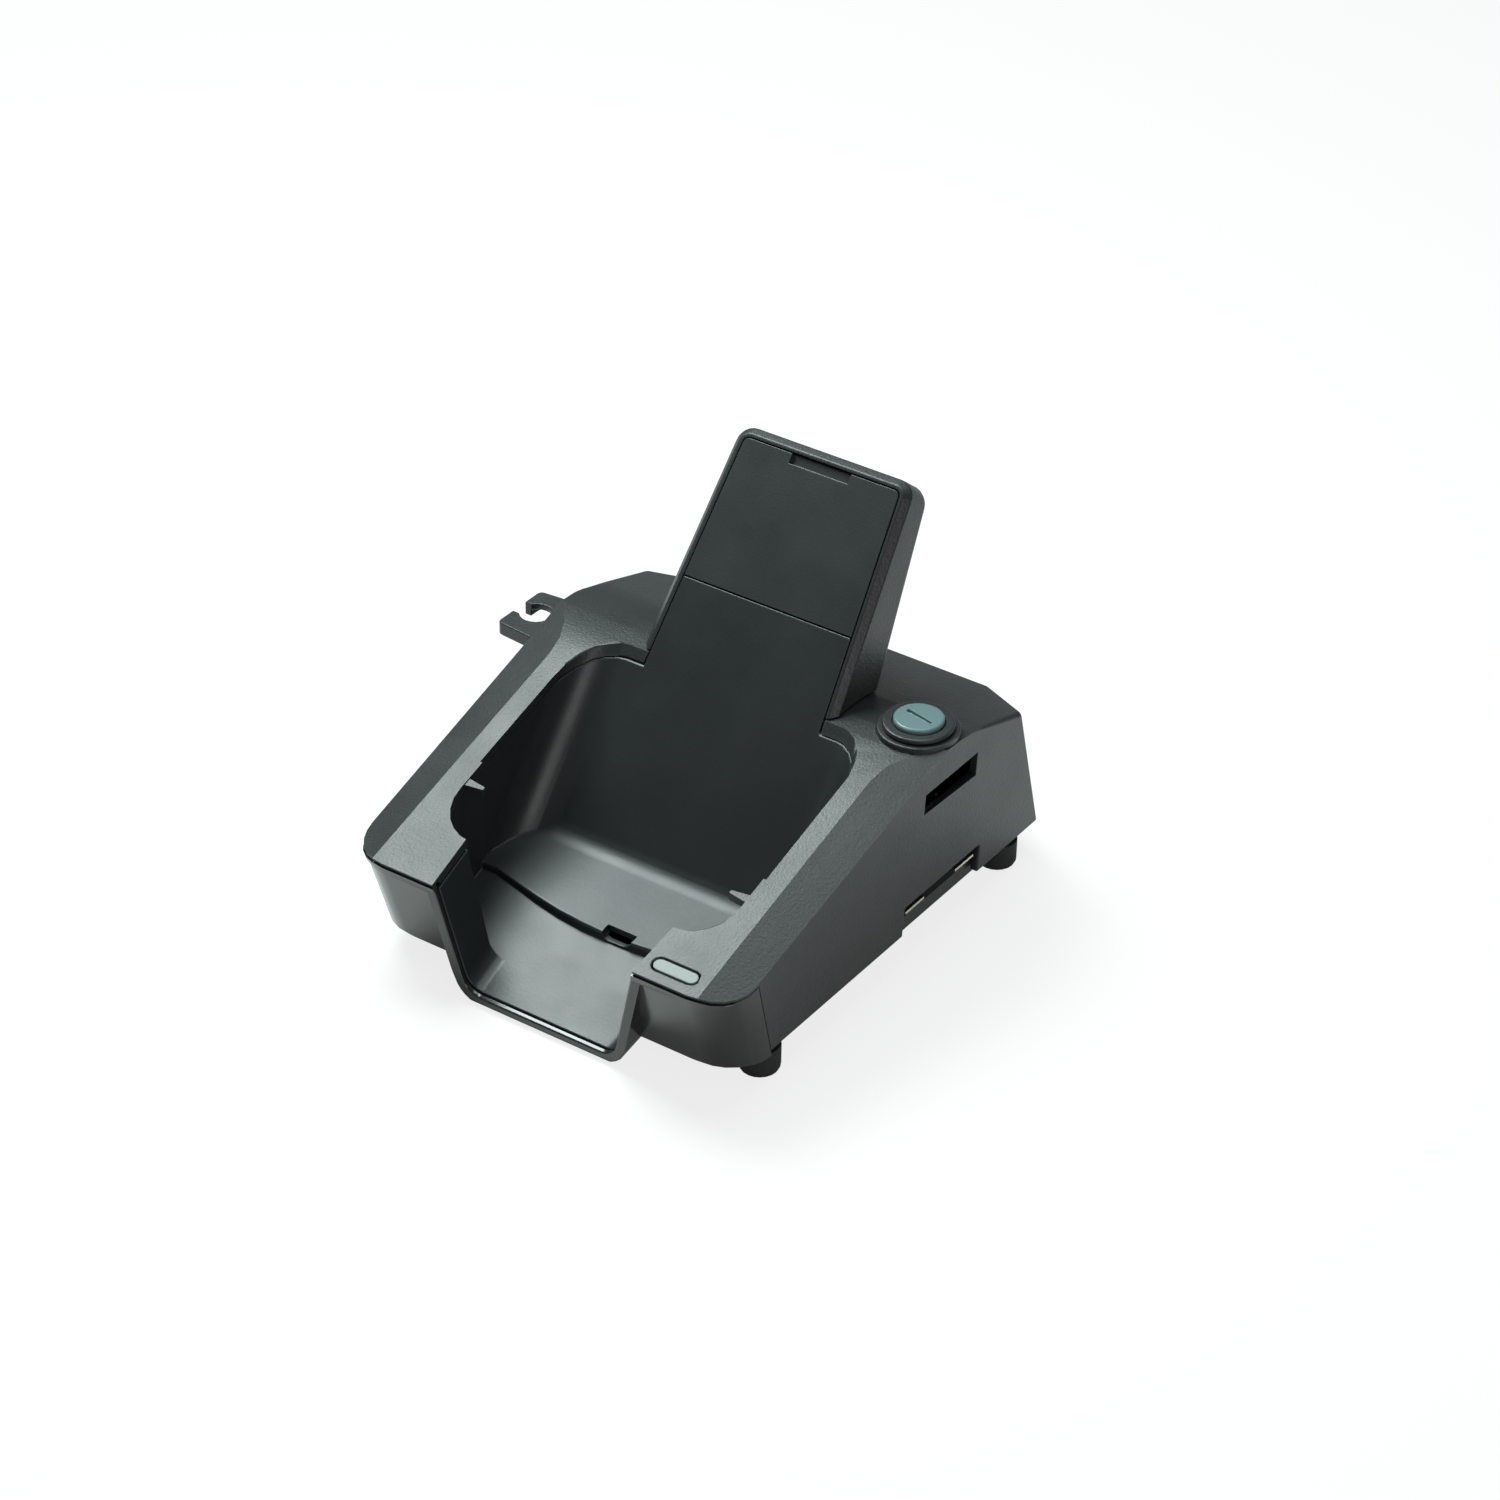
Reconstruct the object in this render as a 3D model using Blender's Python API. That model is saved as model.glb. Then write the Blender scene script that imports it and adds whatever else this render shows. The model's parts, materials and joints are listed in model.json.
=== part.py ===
"""Desktop charging cradle for a portable gas detector, built piece by piece.

Metres, +Z up. The model is drawn about its plane of symmetry (x = 0), with the
front of the cradle towards -Y, and the root empty then centres it over its footprint.
"""

import math

import bmesh
import bpy
from mathutils import Matrix, Vector

# General
GAP = 0.0003  # running and seating clearance between neighbouring pieces
FAR = 0.200  # reach of cutters past everything they cut
ROUND_STEPS = 6  # facets in a quarter round on the mouldings
TURN_STEPS = 20  # facets round a turned piece
SMALL_STEPS = 10  # facets round screws and small holes
LOCK_STEPS = 32  # facets round the lock and the coil
RIDGE_STEPS = 12  # facets along the ridge
WELD = 0.000003  # points closer than this are one point
SHARP_ANGLE = math.radians(30.0)

# Housing
WELL_HALF = 0.0410  # half width of the detector's well
SIDE_BAND = 0.0150  # band left on each side of the well
CREST_BACK = 0.0861  # nose to the crest
DECK_LENGTH = 0.0433  # crest to the rear edge of the deck
ZERO_BACK = 0.0253  # crest to the frame's zero line
SIDE_DRAFT = math.radians(2.5)
SKIRT_Z = 0.0090  # lower edge of the side walls
NOSE_Z = 0.0320  # top of the nose
WIDEST_DROP = 0.0015  # peak to the widest line, where two linked cradles touch
BAND_SLOPE = math.radians(17.1)
DECK_SLOPE = math.radians(16.7)
FRONT_LEAN = math.radians(17.6)
REAR_LEAN = math.radians(19.0)
CREST_RADIUS = 0.060
CORNER_RADIUS = 0.0115
CHAMFER_ACROSS = 0.0150  # rear corners, measured along X
CHAMFER_ALONG = 0.0080  # rear corners, measured along Y
BEVEL_WIDTH = 0.0097  # shallow bevel along each side of the band
BEVEL_DROP = 0.0030
WALL = 0.0022

# Front panel
PART_DROP = 0.0008  # parting line below the top of the band
PANEL_SIDE_TOP = 0.0119  # how far the panel wraps round the side, level with the nose
PANEL_SIDE_FOOT = 0.0190  # and at the foot of the side wall
PANEL_LOW_Z = 0.0076
BEAD_HEIGHT = 0.0024  # proud bead along the panel's upper edge
BEAD_PROUD = 0.0005
RIM_LEAN = math.radians(5.0)  # the rim round the chute is steeper than the panel
RIM_T = 0.0014
LIP_BOTTOM_Z = 0.0006
LIP_RIM = 0.0026  # width of the rim round the chute

# Well, ledge and chute
WELL_END = 0.0042  # foot of the backrest to the crest
WELL_CORNER = 0.0115
WELL_FILLET = 0.0090
WELL_FLOOR_Z = 0.0175  # where the ledge meets the backrest's plane
LEDGE_SLOPE = math.radians(10.0)  # the ledge rises from the ridge to the backrest
RIDGE_BACK = 0.0284  # nose to the ridge that holds the detector's foot
RIDGE_RADIUS = 0.1150
RIDGE_HALF = WELL_HALF - 0.0070  # half length of the ridge's arc, which runs straight on from there
RIDGE_NOSE = 0.0024  # rounding along the ridge
POCKET_STEP = 0.0007  # the pocket is this much narrower on each side than the well
POCKET_BACK = 0.0139  # nose to the front wall of the pocket
POCKET_CORNER = 0.0120
CHUTE_STEP = 0.0125  # the chute, at the band, is this much narrower on each side than the well
CHUTE_LEAN = math.radians(13.9)
CHUTE_FILLET = 0.0050
CHUTE_SLOPE = math.radians(18.2)
LIP_FLOOR_Z = 0.0030
FLOOR_SEAM = 0.00003  # the pocket's floor lies this much below the chute's
LIP_BACK = 0.0039  # nose to the chute's front edge
TRAY_WALL = 0.0015
DRAIN_X = 0.0030
DRAIN_WIDTH = 0.0085
DRAIN_HEIGHT = 0.0042
TOOTH_BACK = 0.0284  # nose to the retaining teeth of the band
TOOTH_REACH = 0.0050
TOOTH_ROOT = 0.0026
TOOTH_TIP = 0.0008

# Backrest
REST_SLOPE = math.radians(52.1)
REST_TAPER = math.radians(8.4)  # rear face against front face
REST_TOP_DEPTH = 0.0108
REST_LENGTH = 0.0572
REST_STEP = 0.0131  # the backrest's foot is this much narrower on each side than the well
REST_NARROWING = 0.0031  # and its top than its foot
REST_ROUND = 0.0045  # top corners, seen from the front
REST_EDGE = 0.0025  # rounding of the rear edges
REST_CHAMFER = 0.0017  # front edges
REST_LEDGE = 0.0020  # shelf that the inlay rests on
REST_WALL = 0.0022
STRIP = 0.0026  # frame left round the front inlay, its chamfer included
INLAY = 0.0020
TONGUE_TOP = 0.0180  # the tray's tongue runs this far up the backrest
REST_FLOOR = 0.0110  # solid foot left under the hollow of the backrest
NOTCH_HALF = 0.0084
NOTCH_HEIGHT = 0.0028
NOTCH_DEPTH = 0.0012

# Bottom plate and feet
PLATE_BOTTOM_Z = 0.0075
PLATE_LAP = 0.0030  # how far the plate's rim stands up inside the skirt
PLATE_FLOOR = 0.0018
PLATE_RIM = 0.0022
PLATE_BOSS = 0.0040  # radius of the bosses round the housing screws
FOOT_RADIUS = 0.0050
FOOT_ROUND = 0.0014
FOOT_SPIGOT = 0.0021
FOOT_INSET = 0.0075  # foot axis to the side wall
FOOT_FRONT = 0.0222  # nose to the front feet
FOOT_REAR = 0.0050  # deck edge to the rear feet

# Screws
SCREW_RADIUS = 0.0014
SCREW_HEAD = 0.0029
SCREW_HEAD_T = 0.0020
SCREW_DRIVE = 0.0012
SCREW_CROWN = 0.0023  # radius of the head's flat crown
SCREW_EDGE = 0.0012  # height of the head's straight edge
SCREW_TIP = 0.0006
POST_RADIUS = 0.0036
POST_INSET = 0.0095  # housing posts to the side wall
POST_FRONT = 0.0414
POST_REAR = 0.0160
SCREW_GRIP = 0.0090
SPOT_FACE = 0.0019  # seats of the backrest screws, below the deck's plane

# Side link: slot, fork, lock and contacts
LINK_BEHIND = 0.0037  # crest to the middle of the fork and slot
SLOT_HALF = 0.0113
SLOT_DROP = 0.0111  # peak to the top of the slot
SLOT_HEIGHT = 0.0062
FORK_HALF = 0.0103  # at the side wall
FORK_TIP_HALF = 0.0088
FORK_TIP_ROUND = 0.0014
FORK_REACH = 0.0155
FORK_T = 0.0036
FORK_WEB = 0.0018  # plate left between the stiffening rims
FORK_RIM = 0.0020
FORK_DROP = 0.0115  # peak to the top of the fork
FORK_STEP = 0.0003  # the flange inside the housing lies this much lower
FORK_MOUTH = 0.0048
EYE_CLEARANCE = 0.0003  # lock cam in the fork's eye
FLANGE_HALF = 0.0150
FLANGE_DEPTH = 0.0160
FORK_SCREW_PITCH = 0.0220
LOCK_INSET = 0.0102  # lock axis to the side wall, and fork hole to the far wall
BOSS_RADIUS = 0.0100
BOSS_DEPTH = 0.0060
BEZEL_RADIUS = 0.00865
BEZEL_FLANGE = 0.0007
BEZEL_LIP = 0.0005
SLEEVE_WALL = 0.0014
KNOB_RADIUS = 0.0061
KNOB_T = 0.0013
KNOB_STEP = 0.0004
KNOB_RIM = 0.0022
KNOB_SLOT_WIDTH = 0.0009
KNOB_SLOT_DEPTH = 0.0007
KNOB_SLOT_TURN = math.radians(-10.0)
STEM_RADIUS = 0.0033
PIN_RADIUS = 0.0020
CAM_RADIUS = 0.0038
CAM_FLATS = 0.0042
CAM_DROP = 0.0078  # peak to the top of the cam
CAM_HEIGHT = 0.0091
COLLAR_RADIUS = 0.0055
COLLAR_T = 0.0012
CAM_WEB = 0.0036
BAY_AHEAD = 0.0124  # front end of the contact bay to the crest
BAY_LENGTH = 0.0327
BAY_HIGH_Z = 0.0172
CONTACT_DEPTH = 0.0065
CONTACT_RECESS = 0.0020  # block face behind the side wall
CONTACT_Z = 0.0148
BLADE_LENGTH = 0.0080
BLADE_T = 0.0008
BLADE_PROUD = 0.0014
BLADE_END = 0.0055  # blade middle to the end of the bay
BLADE_SEAT = 0.0045  # how deep a blade sits in its block
PIN_CONTACT_RADIUS = 0.0015
PIN_TIP = 0.0007  # flat and bevel of a contact pin's tip
PIN_PROUD = 0.0026  # past the line where two cradles touch
PIN_LENGTH = 0.0090
PIN_TRAVEL = 0.0015

# Electronics
BOARD_T = 0.0016
BOARD_STEP = 0.0030  # the main board is this much narrower on each side than the well
BOARD_LENGTH = 0.0560
BOARD_REAR = 0.0060  # deck edge to the board's rear edge
BOARD_Z = 0.0150
BOARD_HOLE_INSET = 0.0045
COIL_OUTER = 0.0190
COIL_INNER = 0.0090
COIL_T = 0.0020
COIL_DOWN = 0.0240  # middle of the coil, down the rest from the foot of the backrest
FERRITE_HALF = 0.0210
FERRITE_T = 0.0015
BRACKET_HALF_X = 0.0290
BRACKET_HALF_S = 0.0140
BRACKET_T = 0.0018
BRACKET_HOLE = 0.0250
LENS_IN = 0.0186  # lens middle to the side wall
LENS_BACK = 0.0042
LENS_LENGTH = 0.0120
LENS_WIDTH = 0.0031
LENS_DEPTH = 0.0060
LED_SIZE = (0.0050, 0.0030, 0.0014)
LED_BOARD = (0.0125, 0.0068, 0.0012)
LED_POST = (0.0030, 0.0034)  # staking post from the lens middle, along X and Y
LED_POST_RADIUS = 0.0015
LED_PEG_RADIUS = 0.0008

# Finishes: colour, roughness, metallic
CHARCOAL = ((0.031, 0.036, 0.038), 0.45, 0.0)
GLOSS_BLACK = ((0.018, 0.019, 0.018), 0.22, 0.0)
DARK_LINER = ((0.024, 0.027, 0.029), 0.40, 0.0)
TEAL_GREY = ((0.120, 0.190, 0.200), 0.38, 0.0)
RUBBER = ((0.012, 0.012, 0.012), 0.85, 0.0)
LENS_WHITE = ((0.800, 0.820, 0.820), 0.30, 0.0)
STEEL = ((0.560, 0.560, 0.570), 0.32, 1.0)
CONTACT = ((0.780, 0.700, 0.480), 0.25, 1.0)
BOARD_GREEN = ((0.020, 0.110, 0.050), 0.50, 0.0)
COPPER = ((0.720, 0.360, 0.180), 0.30, 1.0)
FERRITE = ((0.060, 0.058, 0.056), 0.70, 0.0)
LED_WHITE = ((0.850, 0.830, 0.700), 0.35, 0.0)


# Places worked out from the sizes above

HALF_WIDTH = WELL_HALF + SIDE_BAND
POCKET_HALF = WELL_HALF - POCKET_STEP
CHUTE_HALF = WELL_HALF - CHUTE_STEP
REST_FOOT_HALF = WELL_HALF - REST_STEP
REST_TOP_HALF = REST_FOOT_HALF - REST_NARROWING
BOARD_HALF = WELL_HALF - BOARD_STEP
FRONT_REACH = CREST_BACK + ZERO_BACK
REAR_REACH = DECK_LENGTH - ZERO_BACK
WELL_LENGTH = CREST_BACK - WELL_END
LINK_BACK = CREST_BACK + LINK_BEHIND
BAY_LOW = CREST_BACK - BAY_AHEAD
PEAK_Z = NOSE_Z + CREST_BACK * math.tan(BAND_SLOPE)
DECK_EDGE_Z = PEAK_Z - DECK_LENGTH * math.tan(DECK_SLOPE)
CREST_Z = PEAK_Z - WIDEST_DROP
BOSS_TOP_Z = CREST_Z
SLOT_HIGH_Z = PEAK_Z - SLOT_DROP
SLOT_LOW_Z = SLOT_HIGH_Z - SLOT_HEIGHT
FORK_TOP_Z = PEAK_Z - FORK_DROP
FLANGE_TOP_Z = FORK_TOP_Z - FORK_STEP
CAM_TOP_Z = PEAK_Z - CAM_DROP
CAM_LOW_Z = CAM_TOP_Z - CAM_HEIGHT


def band_z(y):
    """Height of the inclined band, before its crest is rounded."""
    return NOSE_Z + (y + FRONT_REACH) * math.tan(BAND_SLOPE)


def deck_z(y):
    """Height of the rear deck."""
    return DECK_EDGE_Z + (REAR_REACH - y) * math.tan(DECK_SLOPE)


def from_nose(length):
    """Place along Y at a distance behind the nose."""
    return length - FRONT_REACH


def half_at(z):
    """Half width of the housing at one height."""
    return HALF_WIDTH - (CREST_Z - z) * math.tan(SIDE_DRAFT)


REST_Y = from_nose(WELL_LENGTH)
REST_POINT = Vector((0.0, REST_Y, band_z(REST_Y)))
REST_UP = Vector((0.0, math.cos(REST_SLOPE), math.sin(REST_SLOPE)))
REST_OUT = Vector((0.0, -math.sin(REST_SLOPE), math.cos(REST_SLOPE)))
REST_FRAME = Matrix.Translation(REST_POINT) @ Matrix(
    ((1, 0, 0), (0, REST_UP.y, REST_OUT.y), (0, REST_UP.z, REST_OUT.z))
).to_4x4()
LINK_Y = from_nose(LINK_BACK)
LOCK_X = HALF_WIDTH - LOCK_INSET
BAY_MID_Y = from_nose(BAY_LOW + BAY_LENGTH / 2)
PLATE_INSET = WALL + GAP
PLATE_TOP_Z = SKIRT_Z + PLATE_LAP
PLATE_FLOOR_Z = PLATE_BOTTOM_Z + PLATE_FLOOR
BEZEL_SEAT_Z = BOSS_TOP_Z + GAP + BEZEL_FLANGE
KNOB_LOW_Z = BEZEL_SEAT_Z + GAP
SCREW_HOLE = SCREW_RADIUS + GAP
POST_FOOT_Z = PLATE_TOP_Z + GAP
FORK_LOW_Z = FORK_TOP_Z - FORK_T
FLANGE_X = -half_at(FORK_LOW_Z) + WALL + GAP
CONTACT_X = half_at(CONTACT_Z) - CONTACT_RECESS
BLADE_X = CONTACT_X - BLADE_SEAT


# Mesh helpers


def new_object(name, mesh):
    thing = bpy.data.objects.new(name, mesh)
    bpy.context.scene.collection.objects.link(thing)
    return thing


def loft(name, sections):
    """Closed solid through closed loops that have as many points as each other."""
    shape = bmesh.new()
    rings = [[shape.verts.new(point) for point in section] for section in sections]
    count = len(rings[0])
    for lower, upper in zip(rings, rings[1:]):
        for i in range(count):
            j = (i + 1) % count
            shape.faces.new((lower[i], lower[j], upper[j], upper[i]))
    shape.faces.new(rings[0])
    shape.faces.new(rings[-1])
    bmesh.ops.recalc_face_normals(shape, faces=shape.faces)
    mesh = bpy.data.meshes.new(name)
    shape.to_mesh(mesh)
    shape.free()
    return new_object(name, mesh)


def prism_x(name, outline, low, high):
    return loft(name, [[(x, y, z) for y, z in outline] for x in (low, high)])


def prism_y(name, outline, low, high):
    return loft(name, [[(x, y, z) for x, z in outline] for y in (low, high)])


def prism_z(name, outline, low, high):
    return loft(name, [[(x, y, z) for x, y in outline] for z in (low, high)])


def box(name, low, high):
    outline = [(low[0], low[1]), (high[0], low[1]), (high[0], high[1]), (low[0], high[1])]
    return prism_z(name, outline, low[2], high[2])


def circle(radius, centre=(0.0, 0.0), steps=TURN_STEPS):
    turn = 2 * math.pi / steps
    return [
        (centre[0] + radius * math.cos(i * turn), centre[1] + radius * math.sin(i * turn))
        for i in range(steps)
    ]


def rod(name, radius, low, high, centre=(0.0, 0.0), steps=TURN_STEPS):
    return prism_z(name, circle(radius, centre, steps), low, high)


def turned(name, profile, steps=TURN_STEPS):
    """Solid of revolution about Z through radius and height pairs, capped at both ends."""
    return loft(name, [[(x, y, z) for x, y in circle(r, steps=steps)] for r, z in profile])


def ring(name, profile, steps=TURN_STEPS):
    """Ring about Z whose section is a closed outline of radius and height pairs."""
    shape = bmesh.new()
    turn = 2 * math.pi / steps
    loops = [
        [shape.verts.new((r * math.cos(i * turn), r * math.sin(i * turn), z)) for r, z in profile]
        for i in range(steps)
    ]
    count = len(profile)
    for here, there in zip(loops, loops[1:] + loops[:1]):
        for i in range(count):
            j = (i + 1) % count
            shape.faces.new((here[i], here[j], there[j], there[i]))
    bmesh.ops.recalc_face_normals(shape, faces=shape.faces)
    mesh = bpy.data.meshes.new(name)
    shape.to_mesh(mesh)
    shape.free()
    return new_object(name, mesh)


def arc(centre, radius, start, end, steps=ROUND_STEPS):
    """Points of an arc in a plane, from one angle to another."""
    return [
        (
            centre[0] + radius * math.cos(start + (end - start) * i / steps),
            centre[1] + radius * math.sin(start + (end - start) * i / steps),
        )
        for i in range(steps + 1)
    ]


def rounded(before, corner, after, radius, steps=ROUND_STEPS):
    """Points of the arc that rounds one corner of an outline."""
    corner = Vector(corner)
    to_before = (Vector(before) - corner).normalized()
    to_after = (Vector(after) - corner).normalized()
    half = to_before.angle(to_after) / 2
    centre = corner + (to_before + to_after).normalized() * radius / math.sin(half)
    first = corner + to_before * radius / math.tan(half) - centre
    last = corner + to_after * radius / math.tan(half) - centre
    span = math.pi - 2 * half
    points = []
    for i in range(steps + 1):
        t = i / steps
        blend = first * math.sin((1 - t) * span) + last * math.sin(t * span)
        points.append(tuple(centre + blend / math.sin(span)))
    return points


def stadium(length, width, steps=ROUND_STEPS):
    radius = width / 2
    reach = length / 2 - radius
    right = arc((reach, 0.0), radius, -math.pi / 2, math.pi / 2, steps)
    left = arc((-reach, 0.0), radius, math.pi / 2, 3 * math.pi / 2, steps)
    return right + left


def placed(thing, matrix):
    thing.data.transform(matrix)
    return thing


def boolean(target, tool, operation):
    """Apply one Boolean to the target's mesh and remove the tool."""
    modifier = target.modifiers.new(operation.lower(), "BOOLEAN")
    modifier.operation = operation
    modifier.solver = "EXACT"
    modifier.object = tool
    depsgraph = bpy.context.evaluated_depsgraph_get()
    mesh = bpy.data.meshes.new_from_object(target.evaluated_get(depsgraph))
    target.modifiers.clear()
    target.data = mesh
    bpy.data.objects.remove(tool)
    return target


def cut(target, *tools):
    for tool in tools:
        boolean(target, tool, "DIFFERENCE")
    return target


def join(target, *tools):
    for tool in tools:
        boolean(target, tool, "UNION")
    return target


def keep(target, *tools):
    for tool in tools:
        boolean(target, tool, "INTERSECT")
    return target


def mirrored(points):
    """A right-hand half outline, front to rear, closed by its mirror image."""
    return points + [(-x, y) for x, y in reversed(points)]


def mirrored_y(points):
    """A rear half outline, left to right, closed by its mirror image."""
    return points + [(x, -y) for x, y in reversed(points)]


# Shapes that several pieces share


def plan_outline(z, inset, lean=FRONT_LEAN):
    """The housing's outline at one height, moved inwards by inset."""
    front = -FRONT_REACH + (NOSE_Z - PART_DROP - z) * math.tan(lean)
    rear = REAR_REACH + (DECK_EDGE_Z - z) * math.tan(REAR_LEAN)
    slant = math.hypot(CHAMFER_ACROSS, CHAMFER_ALONG)
    half = half_at(z)
    offset = CHAMFER_ALONG * half + CHAMFER_ACROSS * (rear - CHAMFER_ALONG) - inset * slant
    half -= inset
    front += inset
    rear -= inset
    radius = CORNER_RADIUS - inset
    corner = arc((half - radius, front + radius), radius, -math.pi / 2, 0.0)
    side_end = (half, (offset - CHAMFER_ALONG * half) / CHAMFER_ACROSS)
    rear_end = ((offset - CHAMFER_ACROSS * rear) / CHAMFER_ALONG, rear)
    return mirrored(corner + [side_end, rear_end])


def roof(inset):
    """Everything under the band, the rounded crest and the deck."""
    drop = inset / math.cos(BAND_SLOPE)
    front = (-FAR, band_z(-FAR) - drop)
    crest = (-ZERO_BACK, PEAK_Z - drop)
    rear = (FAR, deck_z(FAR) - drop)
    crown = rounded(front, crest, rear, CREST_RADIUS)
    return prism_x("roof", [front] + crown + [rear, (FAR, -FAR), (-FAR, -FAR)], -FAR, FAR)


def side_bevel(side, inset):
    """Wedge that takes the shallow bevel off one long edge of the band."""
    drop = inset / math.cos(BAND_SLOPE)
    fall = BEVEL_DROP / BEVEL_WIDTH
    crease = HALF_WIDTH - BEVEL_WIDTH

    def plane(x, y):
        return band_z(y) - (x - crease) * fall - drop

    inner = crease - BEVEL_WIDTH
    outer = HALF_WIDTH + BEVEL_WIDTH
    corners = [(inner, -FAR), (outer, -FAR), (outer, FAR), (inner, FAR)]
    low = [(side * x, y, plane(x, y)) for x, y in corners]
    high = [(side * x, y, plane(x, y) + FAR) for x, y in corners]
    return loft("bevel", [low, high])


def column(name, inset, low, lean=FRONT_LEAN):
    """The housing's outline drawn up from the height low, with no roof."""
    levels = (low, NOSE_Z, FAR)
    return loft(name, [[(x, y, z) for x, y in plan_outline(z, inset, lean)] for z in levels])


def under_roof(mass, inset):
    """Trim a mass to the roof and its side bevels, moved inwards by inset."""
    keep(mass, roof(inset))
    return cut(mass, side_bevel(1, inset), side_bevel(-1, inset))


def body(name, inset, low):
    """The housing's mass, moved inwards by inset and standing on the height low."""
    return under_roof(column(name, inset, low), inset)


def under_band(drop):
    """Everything below a plane parallel to the band."""
    outline = [(-FAR, band_z(-FAR) - drop), (FAR, band_z(FAR) - drop), (FAR, -FAR), (-FAR, -FAR)]
    return prism_x("under", outline, -FAR, FAR)


def panel_zone(clearance):
    """Everything ahead of the seam where the front panel meets the side walls."""
    top = from_nose(PANEL_SIDE_TOP) - clearance
    foot = from_nose(PANEL_SIDE_FOOT) - clearance
    lean = (foot - top) / (NOSE_Z - SKIRT_Z)
    outline = [
        (-FAR * 2, FAR),
        (top - lean * (FAR - NOSE_Z), FAR),
        (foot + lean * (SKIRT_Z + FAR), -FAR),
        (-FAR * 2, -FAR),
    ]
    return prism_x("zone", outline, -FAR, FAR)


def chute(grow):
    """The open channel at the front, running out through the nose."""
    lean = math.tan(CHUTE_LEAN)

    def half(z):
        return CHUTE_HALF + grow - (NOSE_Z - z) * lean

    def section(y):
        low = LIP_FLOOR_Z + (y - from_nose(LIP_BACK)) * math.tan(CHUTE_SLOPE) - grow
        corner = (half(low), low)
        top = (half(FAR / 2), FAR / 2)
        points = [top] + rounded(top, corner, (0.0, low), CHUTE_FILLET + grow)
        return [(x, y, z) for x, z in mirrored(points)]

    return loft("chute", [section(-FRONT_REACH - WALL * 4), section(from_nose(RIDGE_BACK) - WALL)])


def pocket(grow):
    """Vertical-walled front of the well, behind the chute."""
    half = POCKET_HALF + grow
    front = from_nose(POCKET_BACK) - grow
    radius = POCKET_CORNER + grow
    rear = from_nose(RIDGE_BACK) + POCKET_CORNER
    points = arc((half - radius, front + radius), radius, -math.pi / 2, 0.0) + [(half, rear)]
    return prism_z("pocket", mirrored(points), -FAR, FAR)


def detector_space(grow):
    """The space that the detector fills, drawn along the backrest."""
    behind = grow + GAP / 2
    half = WELL_HALF + grow
    radius = WELL_CORNER + grow
    points = arc((half - radius, radius - behind), radius, -math.pi / 2, 0.0) + [(half, FAR)]
    outline = mirrored(points)
    space = prism_z("space", [(x, -n) for x, n in outline], -FAR, FAR)
    turn = REST_FRAME @ Matrix.Rotation(-math.pi / 2, 4, "X")
    placed(space, turn)
    front = from_nose(RIDGE_BACK) + POCKET_CORNER / 2
    return keep(space, box("behind", (-FAR, front, -FAR), (FAR, FAR * 2, FAR * 2)))


def ground(grow):
    """What lies under the chute floor, the ridge and its ledge, and behind the backrest."""
    up = REST_UP.z / REST_UP.y
    rest = REST_POINT - REST_OUT * grow
    floor_z = WELL_FLOOR_Z - grow
    corner = (rest.y + (floor_z - rest.z) / up, floor_z)
    far_up = (corner[0] + FAR * REST_UP.y, corner[1] + FAR * REST_UP.z)

    def section(x):
        across = min(abs(x), RIDGE_HALF)
        sag = RIDGE_RADIUS - math.sqrt(RIDGE_RADIUS**2 - across**2)
        ridge_y = from_nose(RIDGE_BACK) + sag + grow
        ledge = (ridge_y, floor_z - (corner[0] - ridge_y) * math.tan(LEDGE_SLOPE))
        lip = from_nose(LIP_BACK)

        def floor(y):
            return LIP_FLOOR_Z - FLOOR_SEAM - grow + (y - lip) * math.tan(CHUTE_SLOPE)

        foot = (ridge_y, floor(ridge_y))
        nose = min(RIDGE_NOSE, (ledge[1] - foot[1]) / 3)
        points = [(-FAR, floor(-FAR)), foot]
        points += rounded(foot, ledge, corner, max(nose - grow, GAP))
        points += rounded(ledge, corner, far_up, WELL_FILLET + grow)
        points += [far_up, (FAR, -FAR), (-FAR, -FAR)]
        return [(x, y, z) for y, z in points]

    reach = WELL_HALF + grow + WALL
    stations = [-reach + 2 * reach * i / RIDGE_STEPS for i in range(RIDGE_STEPS + 1)]
    return loft("ground", [section(x) for x in stations])


def cavity(grow):
    """The well, its pocket and the chute as one space, enlarged by grow."""
    space = detector_space(grow)
    join(space, pocket(grow), chute(grow))
    return cut(space, ground(grow))


def rest_half(s):
    """Half width of the backrest at a distance up its front face."""
    return REST_FOOT_HALF + (REST_TOP_HALF - REST_FOOT_HALF) * s / REST_LENGTH


def rest_plate(name, trim, low, high, back, front):
    """Tapered plate on the backrest's front face, between two depths along its normal."""
    outline = [
        (rest_half(low) - trim, low),
        (rest_half(high) - trim, high),
        (-rest_half(high) + trim, high),
        (-rest_half(low) + trim, low),
    ]
    return placed(prism_z(name, outline, back, front), REST_FRAME)


def screw(name, grip):
    """Pan-head screw with its head below z = 0 and its shank up to grip."""
    profile = [
        (SCREW_CROWN, -SCREW_HEAD_T),
        (SCREW_HEAD, -SCREW_EDGE),
        (SCREW_HEAD, 0.0),
        (SCREW_RADIUS, 0.0),
        (SCREW_RADIUS, grip - SCREW_RADIUS),
        (SCREW_TIP, grip),
    ]
    piece = turned(name, profile, SMALL_STEPS)
    drive = rod("drive", SCREW_DRIVE, -SCREW_HEAD_T - GAP, -SCREW_HEAD_T / 2, steps=6)
    return cut(piece, drive)


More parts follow.
